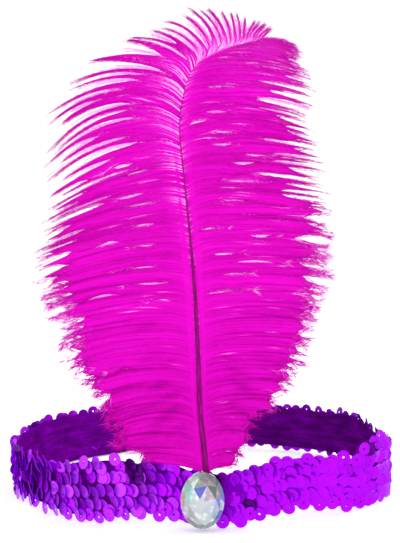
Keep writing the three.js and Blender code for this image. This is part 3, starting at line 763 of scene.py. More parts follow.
sideways = (QUILL_WIDTH / 2 * taper)[:, None, None] * (ring * np.cos(angle))[None, :, None] * aside[:, None]
outwards = ((QUILL_DEPTH / 2 * taper)[:, None, None] * (ring * np.sin(angle))[None, :, None]
            * forwards[:, None])
length = np.linspace(0, SHAFT_RISE + QUILL_INSERT, len(line))
quill_uv = np.stack(np.broadcast_arrays(angle[None] / 6.28, length[:, None]), -1)
horn, shader = new_material("dyed_quill", Roughness=0.5, Specular_IOR_Level=0.06)
grain = noise(horn, uv_place(horn, (14, 160, 1)), detail=3)
horn_colour = ramp(horn, combine(horn, "ADD", grain, point_number(horn, "paler")),
                   [(0.3, srgb(92, 0, 76)), (0.5, srgb(124, 0, 102)), (0.65, srgb(160, 2, 132)),
                    (1.0, srgb(204, 2, 174))])
link(horn, horn_colour, shader, "Base Color")
bump(horn, grain, shader, 0.35, 0.1 * MM)
quill_piece = make_piece("quill", line[:, None] + sideways + outwards, rod_faces(len(line), QUILL_SIDES),
                         horn, uv=quill_uv, sharp=60,
                         values={"paler": np.repeat(PALER_END * grow(share, 0.4, 0.4), QUILL_SIDES)})
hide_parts("feather_shaft")

# %% [markdown]
# Each barb leaves the quill, bows upwards and ends at the edge of the plume. Where it ends changes smoothly
# up the quill, so a short table of directions describes all of them: how far out and how far up the end
# lies from the root, and how high the barb arches between them. This "field" of barbs is a function of two
# numbers, the share of the way up the quill and the share of the way along the barb. On the real feather
# the barbs grow out of the quill's sides and lie partly over it, so less and less of it shows towards the
# end. The field's roots therefore start beside the quill's middle and a little in front of it.

# %% The field of barbs
LEFT_REACH, RIGHT_REACH = 60 * MM, 52 * MM
BARB_CUP = 6 * MM            # how far the barb ends curl forwards
SEAT_GAP = 0.3 * MM          # between the quill and the barbs that pass behind it
QUILL_SHOWS = np.array([     # root, and how much of the quill shows on each side of its middle there, in mm
    (0, 0.95), (0.35, 0.6), (0.5, 0.45), (0.7, 0.25), (0.85, 0.05), (0.93, -0.4), (1, -0.6),
])
COVER_REACH = 0.3            # the share of a barb along which its root lies over the quill
COVER_DEPTH = 1.9            # how far forward it lies, as a share of how far behind the quill it passes
TUCK, TUCK_ALONG = 0.6, 0.04     # how far its very root goes into the quill, as such a share, and how long
HANG, HANG_RISE = 2.0 * MM, 0.08     # how far the lowest barbs hang, and the share of the quill with them
LEFT_BARBS = np.array([      # root, then out, rise and arch as shares of the reach
    (0, 0.38, 0.04, 0), (0.05, 0.54, -0.01, 0.02), (0.1, 0.585, -0.05, 0.05), (0.15, 0.635, -0.06, 0.05),
    (0.2, 0.73, -0.07, 0.05), (0.25, 0.81, -0.085, 0.05), (0.3, 0.845, -0.1, 0.05),
    (0.35, 0.88, -0.12, 0.05), (0.4, 0.945, -0.14, 0.05), (0.5, 0.95, -0.2, 0.05),
    (0.58, 0.91, -0.27, 0.05), (0.65, 0.83, -0.31, 0.06), (0.69, 0.8, -0.26, 0.09),
    (0.757, 0.8, -0.22, 0.15), (0.782, 0.8, -0.1, 0.12), (0.83, 0.66, 0.06, 0.08), (0.85, 0.43, 0.14, 0.06),
    (0.865, 0.33, 0.17, 0.05), (0.887, 0.25, 0.2, 0.05), (0.905, 0.19, 0.235, 0.05),
    (0.928, 0.115, 0.235, 0.04), (0.945, 0.05, 0.195, 0.03), (0.958, 0, 0.165, 0.02),
    (0.972, -0.07, 0.12, -0.01), (0.99, -0.078, 0.08, -0.01), (1, -0.08, 0.05, 0),
])
RIGHT_BARBS = np.array([
    (0, 0.2, 0.01, 0), (0.05, 0.32, 0.02, 0.02), (0.095, 0.41, 0.03, 0.03), (0.12, 0.54, 0.03, 0.03),
    (0.166, 0.64, 0.01, 0.035), (0.21, 0.73, 0.01, 0.035), (0.266, 0.8, 0.01, 0.035),
    (0.318, 0.86, 0.005, 0.035), (0.345, 0.91, 0, 0.03), (0.4, 0.96, -0.005, 0.03), (0.506, 1, -0.03, 0.03),
    (0.62, 1, -0.055, 0.035), (0.68, 0.98, -0.06, 0.05), (0.71, 0.95, -0.07, 0.06),
    (0.757, 0.92, -0.085, 0.07), (0.82, 0.9, -0.08, 0.06), (0.86, 0.76, -0.085, 0.06),
    (0.9, 0.62, -0.085, 0.05), (0.962, 0.4, -0.05, 0.04), (1, 0.18, -0.025, 0.02),
])


def read(table, column, at):
    """A column of a table at any places, straight between its rows."""
    return np.interp(at, table[:, 0], table[:, column])


def barb_place(side, root, along):
    """A place on a barb: the quill at its root, plus its chord times along, plus its arch times
    4 along (1 - along) across the chord. The end curls forwards by the square of along. side is -1 or 1."""
    table, reach = (LEFT_BARBS, LEFT_REACH) if side < 0 else (RIGHT_BARBS, RIGHT_REACH)
    steps = np.linspace(0, 1, len(shaft_line))
    origin = np.stack([np.interp(root, steps, shaft_line[:, axis]) for axis in range(3)], -1)
    out, rise, arch = (reach * read(table, column, root) for column in (1, 2, 3))
    chord = np.stack([side * out, np.zeros_like(out), rise], -1)
    bow = unit(np.stack([-side * chord[..., 2], np.zeros_like(out), side * chord[..., 0]], -1))
    behind = QUILL_DEPTH / 2 * (1 + (QUILL_TIP_SHARE - 1) * np.clip(root, 0, 1) ** 0.8) + SEAT_GAP
    ahead = np.exp(-(along / COVER_REACH) ** 2)
    shows = read(QUILL_SHOWS, 1, root)
    place = origin + chord * along[..., None] + bow * (arch * 4 * along * (1 - along))[..., None]
    place[..., 0] += side * MM * shows * ahead
    place[..., 1] += behind * (1 - COVER_DEPTH * ahead) - BARB_CUP * along**2
    place[..., 1] += behind * TUCK * np.clip(2 * shows, 0, 1) * np.clip(1 - along / TUCK_ALONG, 0, 1)
    place[..., 2] -= HANG * np.clip(1 - root / HANG_RISE, 0, 1) * (1 - along)
    return place


corner = barb_place(-1, np.array([0.4]), np.array([1.0]))[0]
print("a barb's end on the left, mm:", np.round(corner / MM, 1).tolist())

# %% [markdown]
# Barbs don't lie evenly. They cling together in locks, with gaps between them that open towards the ends,
# and here and there a slit opens in the middle and closes again. So the field is divided at boundaries up
# the quill. Each boundary has an opening that grows along the barb, and each lock fills what is left
# between two of them. That gives pointed locks and slits from one rule.

# %% Where the barbs part
LOCKS = 74                   # regular locks on each side
CROWDING = 1.35              # above 1, locks root closer together towards the end of the quill
WIDE_SHARE = 0.52            # how many boundaries are wide ones, which open earlier
SLIT_WIDTH = 0.75 * MM
TUFT_PINCH = 0.42            # how much sooner the gaps grow wide between the barbs of the tuft
NEAREST_SLITS = 0.009        # slits rooted nearer than this to the one below are left out
PARTING = {                  # root, where wide and narrow gaps start to open there, and the share that opens
    -1: np.array([(0, 0.95, 0.98, 0.4), (0.3, 0.92, 0.97, 0.55), (0.48, 0.84, 0.94, 0.7),
                  (0.58, 0.66, 0.86, 0.8), (0.66, 0.36, 0.62, 0.86), (0.76, 0.2, 0.46, 0.9),
                  (0.86, 0.16, 0.36, 0.92), (1, 0.05, 0.15, 0.92)]),
    1: np.array([(0, 0.95, 0.98, 0.4), (0.35, 0.93, 0.97, 0.5), (0.5, 0.84, 0.94, 0.75),
                  (0.62, 0.66, 0.86, 0.85),
                 (0.8, 0.6, 0.8, 0.85), (0.93, 0.8, 0.92, 0.7), (1, 0.7, 0.85, 0.6)]),
}
SLITS = {                    # where each slit starts and ends, as x and z in mm from the middle of the band
    -1: [(-36, 133, -27, 137), (-34, 130, -19, 135), (-43, 127, -35, 130), (-33, 123, -25, 125),
         (-33, 119, -17, 123), (-27, 113, -20, 115), (-41, 106, -35, 107), (-27, 106, -19, 106),
         (-33, 98, -16, 98), (-28, 92, -13, 92), (-48, 84, -35, 89), (-19, 86, -12, 86), (-35, 60, -29, 60)],
    1: [(20, 172, 31, 170), (16, 166, 35, 162), (25, 160, 40, 156), (21, 156, 28, 154), (16, 146, 30, 143),
        (22, 147, 36, 143), (14, 137, 23, 137), (32, 136, 41, 134), (19, 134, 32, 133), (8, 131, 25, 130),
        (7, 124, 21, 123), (29, 120, 41, 120), (15, 101, 32, 100), (2, 90, 19, 89), (4, 165, 13, 165),
        (3, 163, 8, 162), (3, 156, 12, 156), (-4, 152, 3, 153), (4, 149, 14, 148), (6, 144, 13, 144),
        (20, 140, 27, 139), (8, 128, 18, 128), (0, 113, 8, 113), (22, 110, 28, 110), (6, 104, 14, 103),
        (22, 105, 31, 104), (10, 96, 18, 96)],
}


def find_slits(side):
    """The root and the stretch along the barbs of each slit, from the nearest places in a fine grid."""
    roots, alongs = np.meshgrid(np.linspace(0, 1, 500), np.linspace(0.02, 1, 80), indexing="ij")
    grid = barb_place(side, roots, alongs)[..., [0, 2]].reshape(-1, 2)
    ends = np.array(SLITS[side], float).reshape(-1, 2, 2) * MM
    nearest = ((grid[:, None, None] - ends[None]) ** 2).sum(-1).argmin(0)
    root = roots.ravel()[nearest].mean(1)
    order = np.argsort(root)
    order = order[np.diff(root[order], prepend=-1) > NEAREST_SLITS]
    along = np.sort(alongs.ravel()[nearest], 1)[order]
    return root[order], along[:, 0] - 0.05, along[:, 1] + 0.05


def part_barbs(side):
    """Boundaries up one side of the quill: their roots, where each starts to open, the share that opens, and
    the stretch of a slit if it has one."""
    share = (np.arange(LOCKS + 1) + rng.uniform(-0.24, 0.24, LOCKS + 1)) / LOCKS
    share[0], share[-1] = 0, 1
    regular = 1 - (1 - share) ** CROWDING
    slit, slit_from, slit_to = find_slits(side)
    clear = np.abs(regular[:, None] - slit[None]).min(1) > 0.45 * np.gradient(regular)
    clear[[0, -1]] = True
    regular = regular[clear]
    root = np.concatenate([regular, slit])
    order = np.argsort(root)
    wide = rng.uniform(0, 1, len(root)) < WIDE_SHARE
    opens = np.where(wide, read(PARTING[side], 1, root), read(PARTING[side], 2, root))
    opens = np.clip(opens + rng.uniform(-0.1, 0.1, len(root)) * (1.05 - opens) * 2, 0.03, 0.985)
    tuft = grow(root, 0.83, 0.05) * (side < 0)
    gap = read(PARTING[side], 3, root) * np.where(wide, 1.0, 0.72 + 0.2 * tuft)
    has_slit = np.concatenate([np.zeros(len(regular)), np.ones(len(slit))])
    slit_from = np.concatenate([np.full(len(regular), 2.0), slit_from])
    slit_to = np.concatenate([np.full(len(regular), 3.0), slit_to])
    power = 0.8 - TUFT_PINCH * tuft
    return [column[order] for column in (root, opens, gap, has_slit, slit_from, slit_to, power)]


def openings(parting, width, along):
    """How far each lock's lower and upper edges are drawn in along the barbs, in shares of the quill. A
    slit is half a sine wave. The gap at the ends grows as a power of the way from where it starts
    to open."""
    root, opens, gap, has_slit, slit_from, slit_to, power = (column[:, None] for column in parting)
    grown = gap * grow(along, opens, 1 - opens) ** power / 2
    inside = grow(along, slit_from, slit_to - slit_from)
    slit = SLIT_WIDTH / SHAFT_RISE / 2 * np.sin(np.pi * inside) * has_slit
    return grown[:-1] * width[:, None] + slit[:-1], grown[1:] * width[:, None] + slit[1:]

# %% [markdown]
# A lock is a flat bundle: thick in the middle, thin at its edges, and pointed at its end. As a surface it
# is a lens-shaped ring of points carried along the barbs. The locks carry the plume's depth of colour, and
# hold up the loose barbs and barbules that are laid over them next. Low on the plume the ends of the locks
# stay short and closed, because only loose hairs show at its edge there. A few soft folds are painted shade:
# they darken the tone where the plume bends away from the light, and the foot of the plume is darker too.
# The last fold's depth is below 0, a painted light that pales the crown.

# %% Locks
LOCK_ACROSS, LOCK_STEPS = 5, 26
LOCK_THICKNESS = 0.3 * MM
RUFFLE = 0.32 * MM           # how far one lock lies in front of or behind the next at its end
OVERLAP = 0.45               # how much locks overlap where they are closed, as a share of their width
ROOT_SWEEP, SWEEP_REACH = 1.8 * MM, 0.18     # how much lower a barb starts, and by where it has risen
CLOSED_END = 0.07            # width left at the end of a lock, as a share
BLUNT_END = 0.06             # how much shorter a lock is at its edges than in its middle, as a share
LOCK_LENGTHS = {             # root, the usual length of a lock and how much shorter some are, as shares
    -1: np.array([(0, 0.95, 0.05), (0.35, 0.95, 0.06), (0.5, 0.97, 0.08), (0.62, 0.99, 0.14), (1, 1, 0.16)]),
    1: np.array([(0, 0.95, 0.05), (0.4, 0.95, 0.05), (0.55, 0.97, 0.06), (0.65, 0.98, 0.08), (1, 1, 0.1)]),
}
LOCK_TONE, TONE_SPREAD = 0.5, 0.014          # the usual tone, and how much it differs from lock to lock
EDGE_DARK, END_DARK = 0.16, 0.2              # how much deeper the edges and the ends of the upper locks are
TUFT_PALE, TUFT_DARK = 0.2, 0.16             # how much paler the tuft is at its roots, and deeper beyond them
# The middle of each fold as x and z, then its half length and half width, in mm, and its depth
PAINTED_FOLDS = [
    (-21.5, 76, 5, 1.3, 0.1), (-36, 93, 12, 5, 0.04), (-18.5, 65, 6, 1.4, 0.1), (-12, 63, 4, 1.2, 0.1),
    (-15.5, 54, 5, 1.4, 0.13), (-10.5, 51, 4, 1.6, 0.14), (-18, 47.5, 5, 1.5, 0.1), (-11, 45, 4, 1.4, 0.12),
    (-15, 41, 5, 1.3, 0.14), (-8.5, 38, 4, 1.3, 0.1), (-17, 36.5, 4, 1.2, 0.08), (10, 76, 6, 1.2, 0.05),
    (9.6, 65, 5, 1.2, 0.08), (12.6, 60, 6, 1.4, 0.12), (15.5, 54, 5, 1.7, 0.17), (13, 46.5, 5, 1.3, 0.09),
    (9, 40, 4, 1.2, 0.08), (11, 33, 4, 1.2, 0.07), (30, 170, 26, 14, -0.08),
]
FOLD_SLOPE = 25              # degrees that the folds fall, going outwards
LOW_DARK = 0.1               # how much deeper the painted shade makes the tone at the foot of the plume


def painted_fold_shade(points):
    """How dark the painted shade is at any points: deeper towards the foot of the plume, and for each fold
    its depth times e to the minus (u over its half length) squared and minus (v over its half width) squared,
    where u runs along the fold and v across it."""
    x, z = points[..., 0] / MM, points[..., 2] / MM
    dark = LOW_DARK * np.clip((80 - z) / 40, 0, 1)
    for at_x, at_z, length, width, depth in PAINTED_FOLDS:
        slope = -np.radians(FOLD_SLOPE) * np.sign(at_x)
        u = (x - at_x) * np.cos(slope) + (z - at_z) * np.sin(slope)
        v = (z - at_z) * np.cos(slope) - (x - at_x) * np.sin(slope)
        dark = dark + depth * np.exp(-(u / length) ** 2 - (v / width) ** 2)
    return dark


def lay_locks(side):
    """The numbers that place one side's locks: their boundaries, width, length, ruffle and drift."""
    parting = part_barbs(side)
    count = len(parting[0]) - 1
    width = np.diff(parting[0])
    root = parting[0][:-1]
    shorter = read(LOCK_LENGTHS[side], 2, root) * rng.uniform(0, 1, count) ** 1.5
    return {
        "side": side, "parting": parting, "count": count, "width": width,
        "length": read(LOCK_LENGTHS[side], 1, root) - shorter,
        "ruffle": RUFFLE * (rng.normal(0, 0.5, count) + 0.5 * (np.arange(count) % 2 * 2 - 1)),
        "drift": rng.normal(0, 0.25, count) * width,
        "tone": rng.normal(0, TONE_SPREAD, count),
    }


def lock_place(locks, across, along, face, stretch=None):
    """Points of every lock: across is 0 to 1 from its lower edge to its upper one, and along is 0 to 1 from
    root to end. face is -1 for the front of the lens, 1 for its back and 0 for its middle. across and face
    have a row for each lock, and stretch makes single barbs longer or shorter than their lock."""
    width = locks["width"][:, None]
    root = locks["parting"][0][:, None]
    drawn = openings(locks["parting"], locks["width"], along)
    closed = [OVERLAP * width * (1 - np.clip(6 * opening / width, 0, 1)) for opening in drawn]
    low = root[:-1] + drawn[0] - closed[0]
    high = root[1:] - drawn[1] + closed[1]
    middle = (low + high) / 2 + locks["drift"][:, None] * along**2
    middle = middle - ROOT_SWEEP / SHAFT_RISE * np.clip(1 - along / SWEEP_REACH, 0, 1) ** 2
    half = np.maximum((high - low) / 2, CLOSED_END * width * (1.05 - along))
    from_middle = 2 * across[..., None] - 1
    at_root = middle[:, None, :] + half[:, None, :] * from_middle
    reach = (along * locks["length"][:, None])[:, None, :]
    reach = reach * (1 - BLUNT_END * from_middle**2 if stretch is None else stretch[..., None])
    point = barb_place(locks["side"], at_root, reach)
    lens = np.sqrt(np.clip(1 - from_middle**2, 0, 1))
    full = 0.1 + 0.9 * np.sin(np.pi * (1 / 6 + 5 / 6 * np.clip(reach, 0, 1)))
    point[..., 1] += LOCK_THICKNESS / 2 * full * (1 + face * lens)
    point[..., 1] += locks["ruffle"][:, None, None] * np.clip(reach, 0, 1) ** 1.6
    return point, reach


def lock_surfaces(locks):
    """Closed lens-shaped skins: up the front from the lower edge to the upper, and down the back again."""
    along = np.linspace(0, 1, LOCK_STEPS)[None]
    up = np.linspace(0, 1, LOCK_ACROSS)
    across = np.concatenate([up, up[-2:0:-1]])
    face = np.concatenate([-np.ones(LOCK_ACROSS), np.ones(LOCK_ACROSS - 2)])
    point, reach = lock_place(locks, across[None], along, face[None, :, None])
    point, reach = point.transpose(0, 2, 1, 3), reach.transpose(0, 2, 1)
    root = locks["parting"][0][:-1, None, None]
    edge, high = np.abs(2 * across - 1)[None, None] ** 3, grow(root, 0.45, 0.2)
    tone = LOCK_TONE + locks["tone"][:, None, None] - EDGE_DARK * high * edge * np.clip(2 * reach - 0.5, 0, 1)
    tone = tone - END_DARK * high * grow(reach, 0.8, 0.2) - painted_fold_shade(point)
    tuft = grow(root, 0.86, 0.04) * (locks["side"] < 0)
    tone = tone + tuft * (TUFT_PALE * np.exp(-(reach / 0.3) ** 2) - TUFT_DARK * grow(reach, 0.35, 0.3))
    start = rng.uniform(0, 1, locks["count"])[:, None, None]
    u = start + across[None, None] * locks["width"][:, None, None] * SHAFT_RISE
    v = reach * (LEFT_REACH if locks["side"] < 0 else RIGHT_REACH)
    uv = np.stack(np.broadcast_arrays(u, v), -1)
    if locks["side"] > 0:
        point, tone, uv = point[:, :, ::-1], tone[:, :, ::-1], uv[:, :, ::-1]
    return point, tone, uv


left_locks, right_locks = lay_locks(-1), lay_locks(1)
skins = [lock_surfaces(locks) for locks in (left_locks, right_locks)]
lock_points, lock_tones, lock_uvs = (np.concatenate(part) for part in zip(*skins))
print(f"{left_locks['count']} locks on the left, {right_locks['count']} on the right")

# %% [markdown]
# Dyed barbs are matt, and so thin that light comes through them. Real translucency is noisy in a render and
# is lost in the export, so a little of the colour is given off by the surface instead. The colour follows
# one tone that each point of the mesh holds, and fine lines along the barbs stand for the ones in a lock.

# %% Finish of the barbs
LIGHT_THROUGH = 0.2          # stands for the light that comes through thin barbs
FEATHER_TONES = [(0.0, srgb(96, 6, 92)), (0.25, srgb(158, 4, 136)), (0.42, srgb(194, 8, 167)),
                 (0.55, srgb(209, 11, 184)), (0.7, srgb(234, 64, 212)), (0.85, srgb(250, 148, 240)),
                 (1.0, srgb(255, 214, 252))]


def feather_material(name, streaks):
    """Dyed feather, with no shine. Its tone is a number on each point, from dark folds (0) to pale tips of
    down (1). Broad soft noise adds a painted shade of folds from place to place. With streaks, fine lines run
    along the barbs as well, from noise drawn out along the UV map."""
    material, shader = new_material(name, Roughness=0.9, Specular_IOR_Level=0.0)
    turned = add_node(material, "ShaderNodeMapping",
                      {"Vector": object_place(material), "Rotation": (0, 0.5, 0), "Scale": (38, 30, 110)})
    painted_broad_shade = between(material, noise(material, turned.outputs["Vector"]), -0.03, 0.01, 0.3, 0.5)
    tone = combine(material, "ADD", point_number(material, "tone"), painted_broad_shade)
    if streaks:
        fine = noise(material, uv_place(material, (2600, 110, 1)), detail=3)
        tone = combine(material, "ADD", tone, between(material, fine, -0.03, 0.04, 0.25, 0.75))
        bump(material, fine, shader, 0.25, 0.15 * MM)
    colour = ramp(material, tone, FEATHER_TONES)
    link(material, colour, shader, "Base Color")
    link(material, colour, shader, "Emission Color")
    shader.inputs["Emission Strength"].default_value = LIGHT_THROUGH
    return material


lock_finish = feather_material("feather_locks", True)
locks_piece = make_piece("plume_locks", lock_points,
                         rod_faces(LOCK_STEPS, lock_points.shape[2], len(lock_points)),
                         lock_finish, uv=lock_uvs, values={"tone": lock_tones.ravel()})
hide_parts("plume")

# %% [markdown]
# Over the locks lie the barbs that one can see singly: thin tapering threads that follow the same field, in
# front and behind. Each is a three-sided rod, and at this size nobody can tell it from a round one. Here and
# there one gets a painted highlight for a short stretch, most of all where it leaves the quill. In the gaps
# and slits, where no lock lies behind them, the few barbs that are left are painted pale, a painted light for
# the white ground seen between them.

# %% Single barbs
BARB_RADIUS = 0.13 * MM
BARB_STEPS = 16
BARB_DROOP = 1.0 * MM        # how far the ends of single barbs hang
BARB_WANDER = 0.3 * MM       # how far their ends stray
BARBS_ON = {-1: 6, 1: 3}     # barbs on the front and on the back of each lock
GLINT_SHARE = {-1: 0.12, 1: 0.22}    # how many barbs catch the light, on the left and on the right
ROOT_GLINTS = {-1: 0.9, 1: 0.45}     # how much stronger that is up the quill, where they leave it
GAP_BARBS = 7                # in each gap and slit
LATE_GAP = 0.9               # gaps that open later than this along the barbs get no pale barbs
SLIT_FILL = 1.1              # how widely the pale barbs spread across a slit, as a share of its width
GAP_TONES = 0.72, 0.92       # of the pale barbs, a painted light
HIGH_FROM, HIGH_OVER = 90 * MM, 30 * MM      # where the barbs' ends start to darken, going up, and fully do


def barb_lines(locks, each_lock, face):
    """Middle lines of loose barbs on one face of the locks, with a tone for every step."""
    side, many = locks["side"], (locks["count"], each_lock)
    across = (np.arange(each_lock)[None] + rng.uniform(0.1, 0.9, many)) / each_lock
    along = np.linspace(0, 1, BARB_STEPS)[None]
    stretch = 1.0 + rng.uniform(-0.1, 0.06, many)
    line, reach = lock_place(locks, across, along, face, stretch)
    wander = rng.normal(0, BARB_WANDER, (*many, 3))[:, :, None]
    droop = BARB_DROOP * rng.uniform(-0.3, 1, many)[:, :, None, None] * [0, 0, -1]
    line = line + wander * reach[..., None] ** 2 + droop * reach[..., None] ** 4 + [0, face * 0.03 * MM, 0]
    line, reach = line.reshape(-1, BARB_STEPS, 3), reach.reshape(-1, BARB_STEPS)
    each = (len(line), 1)
    tone = LOCK_TONE + np.repeat(locks["tone"], each_lock) + rng.normal(0, 0.022, len(line))
    glint_at, glint_size = rng.uniform(0.15, 0.95, each), rng.uniform(0.04, 0.11, each)
    glints = (rng.uniform(0, 1, each) < GLINT_SHARE[side]) * rng.uniform(0.15, 0.45, each)
    root = np.repeat(locks["parting"][0][:-1], each_lock)[:, None]
    at_quill = (rng.uniform(0, 1, each) < 0.6) * rng.uniform(0.1, 0.4, each)
    at_quill = at_quill * (0.55 + ROOT_GLINTS[side] * grow(root, 0.4, 0.2))
    tone = tone[:, None] + glints * np.exp(-((reach - glint_at) / glint_size) ** 2) - painted_fold_shade(line)
    quill_stretch = 0.05 + 0.16 * grow(root, 0.5, 0.3) * (side < 0)
    return line, tone + at_quill * np.exp(-(reach / quill_stretch) ** 2)


def gap_lines(locks):
    """Pale barbs that lie in the slits and in the gaps between locks. Each starts where its gap opens, or at
    one end of its slit, and lies at a random share across the gap all the way."""
    columns = np.array(locks["parting"])[:, 1:-1]
    chosen = (columns[1] < LATE_GAP) | (columns[3] > 0)
    root, opens, gap, has_slit, slit_from, slit_to, power = columns[:, chosen, None, None]
    width, length = ((locks[k][:-1] + locks[k][1:])[chosen, None, None] / 2 for k in ("width", "length"))
    many = (len(root), GAP_BARBS, 1)
    start = np.where(has_slit > 0, slit_from, opens)
    end = np.where(has_slit > 0, slit_to, start + (1 - start) * rng.uniform(0.45, 0.9, many))
    along = start + (end - start) * np.linspace(0, 1, BARB_STEPS)
    opened = gap * width * grow(along, opens, 1 - opens) ** power
    opened = np.where(has_slit > 0, SLIT_FILL * SLIT_WIDTH / SHAFT_RISE, opened)
    at_root = root + opened * rng.uniform(-0.42, 0.42, many)
    line = barb_place(locks["side"], at_root, along * length) + [0, LOCK_THICKNESS * 0.6, 0]
    tone = rng.uniform(*GAP_TONES, many) + np.zeros(BARB_STEPS)
    return line.reshape(-1, BARB_STEPS, 3), tone.reshape(-1, BARB_STEPS)


def barb_rods(lines, tones):
    """A rod round each line. Its radius falls to nothing as the root of what is left of the barb."""
    along = np.linspace(0, 1, BARB_STEPS)
    radius = BARB_RADIUS * (0.15 + 0.85 * np.sqrt(1 - along**1.5))
    rings = ring_round(unit(np.gradient(lines, axis=1)), 3) * radius[None, :, None, None]
    high = grow(lines[..., 2], HIGH_FROM, HIGH_OVER)
    tone = tones - (0.08 + 0.22 * high) * grow(along, 0.8, 0.2)[None]
    return lines[:, :, None] + rings, np.repeat(tone[..., None], 3, -1)


both_locks = {"left": left_locks, "right": right_locks}
barb_sets = {(name, face): barb_lines(locks, each_lock, face)
             for name, locks in both_locks.items() for face, each_lock in BARBS_ON.items()}
gap_sets = [gap_lines(locks) for locks in both_locks.values()]
lines, tones = (np.concatenate(part) for part in zip(*barb_sets.values(), *gap_sets))
rods, rod_tones = barb_rods(lines, tones)
loose_finish = feather_material("feather_down", False)
make_piece("plume_barbs", rods, rod_faces(BARB_STEPS, 3, len(rods)), loose_finish,
           values={"tone": rod_tones.ravel()})
print(len(lines), "loose barbs")

# %% [markdown]
# What makes an ostrich plume soft is its down: every barb has hundreds of fine barbules on both sides, which
# don't hook together as they do in a wing feather. Low on the plume they are long at the ends of the barbs
# and stand well out, and near the tip they lie close. A hair system could draw them, but it has no mesh to
# hand on, so each one is a spike with three sides, placed by arrays. Loose ends are painted pale, a painted
# light for the white ground seen past them, and less so where the dark band lies behind the foot of the
# plume. The pale barbs in the gaps have down of their own.

# %% Barbules
BARBULE_GAP = 0.95 * MM      # along a barb, on each side of it
BODY_RADIUS, EDGE_RADIUS = 0.06 * MM, 0.115 * MM
BODY_BARBULE, EDGE_BARBULE, HIGH_BARBULE = 1.3 * MM, 3.0 * MM, 1.8 * MM
BODY_SPREAD, EDGE_SPREAD, HIGH_SPREAD, OWN_SPREAD = 20, 24, 22, 9    # degrees away from the barb
CLOSE_FROM = {-1: 0.42, 1: 0.5}      # the share of the way up the quill where the down starts to lie close
BAND_TOP, BAND_BLUR = 45 * MM, 8 * MM    # below this the plume's edge lies over the dark band behind it
EDGE_PALE, OVER_BAND_LESS = 0.42, 0.2    # how much paler the spikes at the edge are painted, a painted light, and how much less there
EDGE_THINNING = 0.45         # how many of the spikes are left out at the edge, where each is bigger
LEAST_TONE = 0.1


def barbules(lines, tones, side):
    """Spikes beside barbs. From a place P on a barb a spike points along the barb's direction turned by its
    spread to one side or the other, with a little of the way forwards or back. Four points each: a small
    triangle across the spike, and its tip, which bends towards the barb's end."""
    span = np.linalg.norm(np.diff(lines, axis=1), axis=-1).sum(1)
    number = np.maximum((2 * span / BARBULE_GAP).astype(int), 4)
    barb = np.repeat(np.arange(len(lines)), number)
    height = grow(lines[barb, 0, 2], PLUME_FOOT[2], SHAFT_RISE)
    high = grow(height, CLOSE_FROM[side], 0.14)
    along = 1 - 0.95 * rng.uniform(0, 1, len(barb)) ** (1.7 - 0.7 * high)
    step = np.minimum((along * (BARB_STEPS - 1)).astype(int), BARB_STEPS - 2)
    past = along * (BARB_STEPS - 1) - step
    start, end = lines[barb, step], lines[barb, step + 1]
    base, tangent = start + (end - start) * past[:, None], unit(end - start)
    lateral = square_to(tangent)[0] * rng.choice([-1, 1], len(barb))[:, None]
    edge = grow(along, 0.84, 0.13) * (1 - high)
    spread = BODY_SPREAD + (EDGE_SPREAD - BODY_SPREAD) * edge + (HIGH_SPREAD - BODY_SPREAD) * high
    spread = np.radians(spread + rng.normal(0, OWN_SPREAD, len(barb)))[:, None]
    size = BODY_BARBULE + (EDGE_BARBULE - BODY_BARBULE) * edge + (HIGH_BARBULE - BODY_BARBULE) * high
    size = size * rng.uniform(0.5, 1.15, len(barb)) * np.clip(along / 0.14, 0.35, 1)
    size = (size * (1 - 0.4 * high * along**3))[:, None]
    heading = tangent * np.cos(spread) + lateral * np.sin(spread)
    heading = unit(heading + [0, 1, 0] * rng.normal(0, 0.2, len(barb))[:, None])
    tip = base + heading * size + tangent * size * 0.25 - [0, 0, 0.12] * size * edge[:, None]
    radius = (BODY_RADIUS + (EDGE_RADIUS - BODY_RADIUS) * edge)[:, None, None]
    ring = base[:, None] + radius * ring_round(heading, 3)
    tone = (1 - past) * tones[barb, step] + past * tones[barb, step + 1] + rng.normal(0.0, 0.02, len(barb))
    # Painted light: spikes at the edge are made paler, less so where the band lies behind them.
    pale = rng.uniform(0, 1, len(barb)) ** 1.5
    over_band = np.clip((BAND_TOP - base[:, 2]) / BAND_BLUR + 0.5, 0, 1)
    tone = tone + edge * ((EDGE_PALE - OVER_BAND_LESS * over_band) * pale**1.5 - 0.02)
    tone = tone + high * (0.08 * pale - 0.02)
    tone = np.clip(tone, LEAST_TONE, 1)[:, None] + np.array([0, 0, 0, 0.06])
    kept = rng.uniform(0, 1, len(barb)) > EDGE_THINNING * edge
    return np.concatenate([ring, tip[:, None]], 1)[kept], tone[kept]


def down_piece(name, spikes, tones):
    """A piece of down, which stands for the plume's barbs together with the locks."""
    spike_faces = np.array([[0, 2, 1], [0, 1, 3], [1, 2, 3], [2, 0, 3]])
    make_piece(name, spikes, repeat_faces(spike_faces, len(spikes), 4), loose_finish,
               values={"tone": tones.ravel()})


for (name, face), (lines, tones) in barb_sets.items():
    where = "front" if face < 0 else "back"
    down_piece(f"plume_down_{name}_{where}", *barbules(lines, tones, both_locks[name]["side"]))
gap_down = [barbules(*pair, side) for pair, side in zip(gap_sets, (-1, 1))]
down_piece("plume_down_gaps", *(np.concatenate(part) for part in zip(*gap_down)))

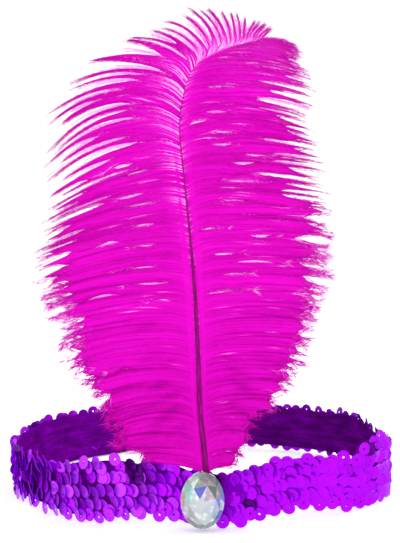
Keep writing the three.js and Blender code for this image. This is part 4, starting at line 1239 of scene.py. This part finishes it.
# %% [markdown]
# The photograph is a cut-out on pure white. A white floor under an even white sky gives that ground, and a
# few big soft lamps give the sequins and the stone something to shine with.

# %% Room and light
FLOOR_SIZE = 8.0
TABLE_GLOW = 0.25            # the white table is lit a little from below, which keeps its shadows faint
SKY_STRENGTH = 1.12
AIM = (0, 0, 0.08)           # where the lamps point, in metres
corners = np.array([(-1, -1, 0), (1, -1, 0), (1, 1, 0), (-1, 1, 0)]) * FLOOR_SIZE / 2
floor_mesh = bpy.data.meshes.new("floor")
floor_mesh.from_pydata(corners.tolist(), [], [(0, 1, 2, 3)])
floor = bpy.data.objects.new("floor", floor_mesh)
paper, shader = new_material("paper", Roughness=0.9)
greys = ramp(paper, noise(paper, object_place(paper), 6),
             [(0, (0.94, 0.94, 0.94, 1)), (1, (0.97, 0.97, 0.97, 1))])
link(paper, greys, shader, "Base Color")
shader.inputs["Emission Color"].default_value = (1, 1, 1, 1)
shader.inputs["Emission Strength"].default_value = TABLE_GLOW
floor_mesh.materials.append(paper)
bpy.context.scene.collection.objects.link(floor)

world = bpy.data.worlds.new("white_sky")
bpy.context.scene.world = world
world.use_nodes = True
sky = world.node_tree.nodes["Background"]
sky.inputs["Color"].default_value = (1, 1, 1, 1)
sky.inputs["Strength"].default_value = SKY_STRENGTH
LAMPS = {                    # place in metres, size in metres and power in watts
    "lamp_left": ((-0.7, -0.9, 0.9), 0.7, 1.5),
    "lamp_right": ((0.8, -0.7, 0.6), 0.7, 1.5),
    "lamp_back": ((0.1, 0.8, 0.9), 0.8, 1.5),
}
for name, (at, size, power) in LAMPS.items():
    lamp = bpy.data.objects.new(name, bpy.data.lights.new(name, "AREA"))
    lamp.data.shape, lamp.data.size, lamp.data.energy = "SQUARE", size, power
    lamp.location = at
    direction = np.array(AIM) - np.array(at)
    yaw, level = math.atan2(-direction[0], direction[1]), math.hypot(*direction[:2])
    lamp.rotation_euler = (math.atan2(level, -direction[2]), 0, yaw)
    bpy.context.scene.collection.objects.link(lamp)
bpy.context.scene.view_settings.view_transform = "Standard"
print("lamps:", ", ".join(LAMPS))
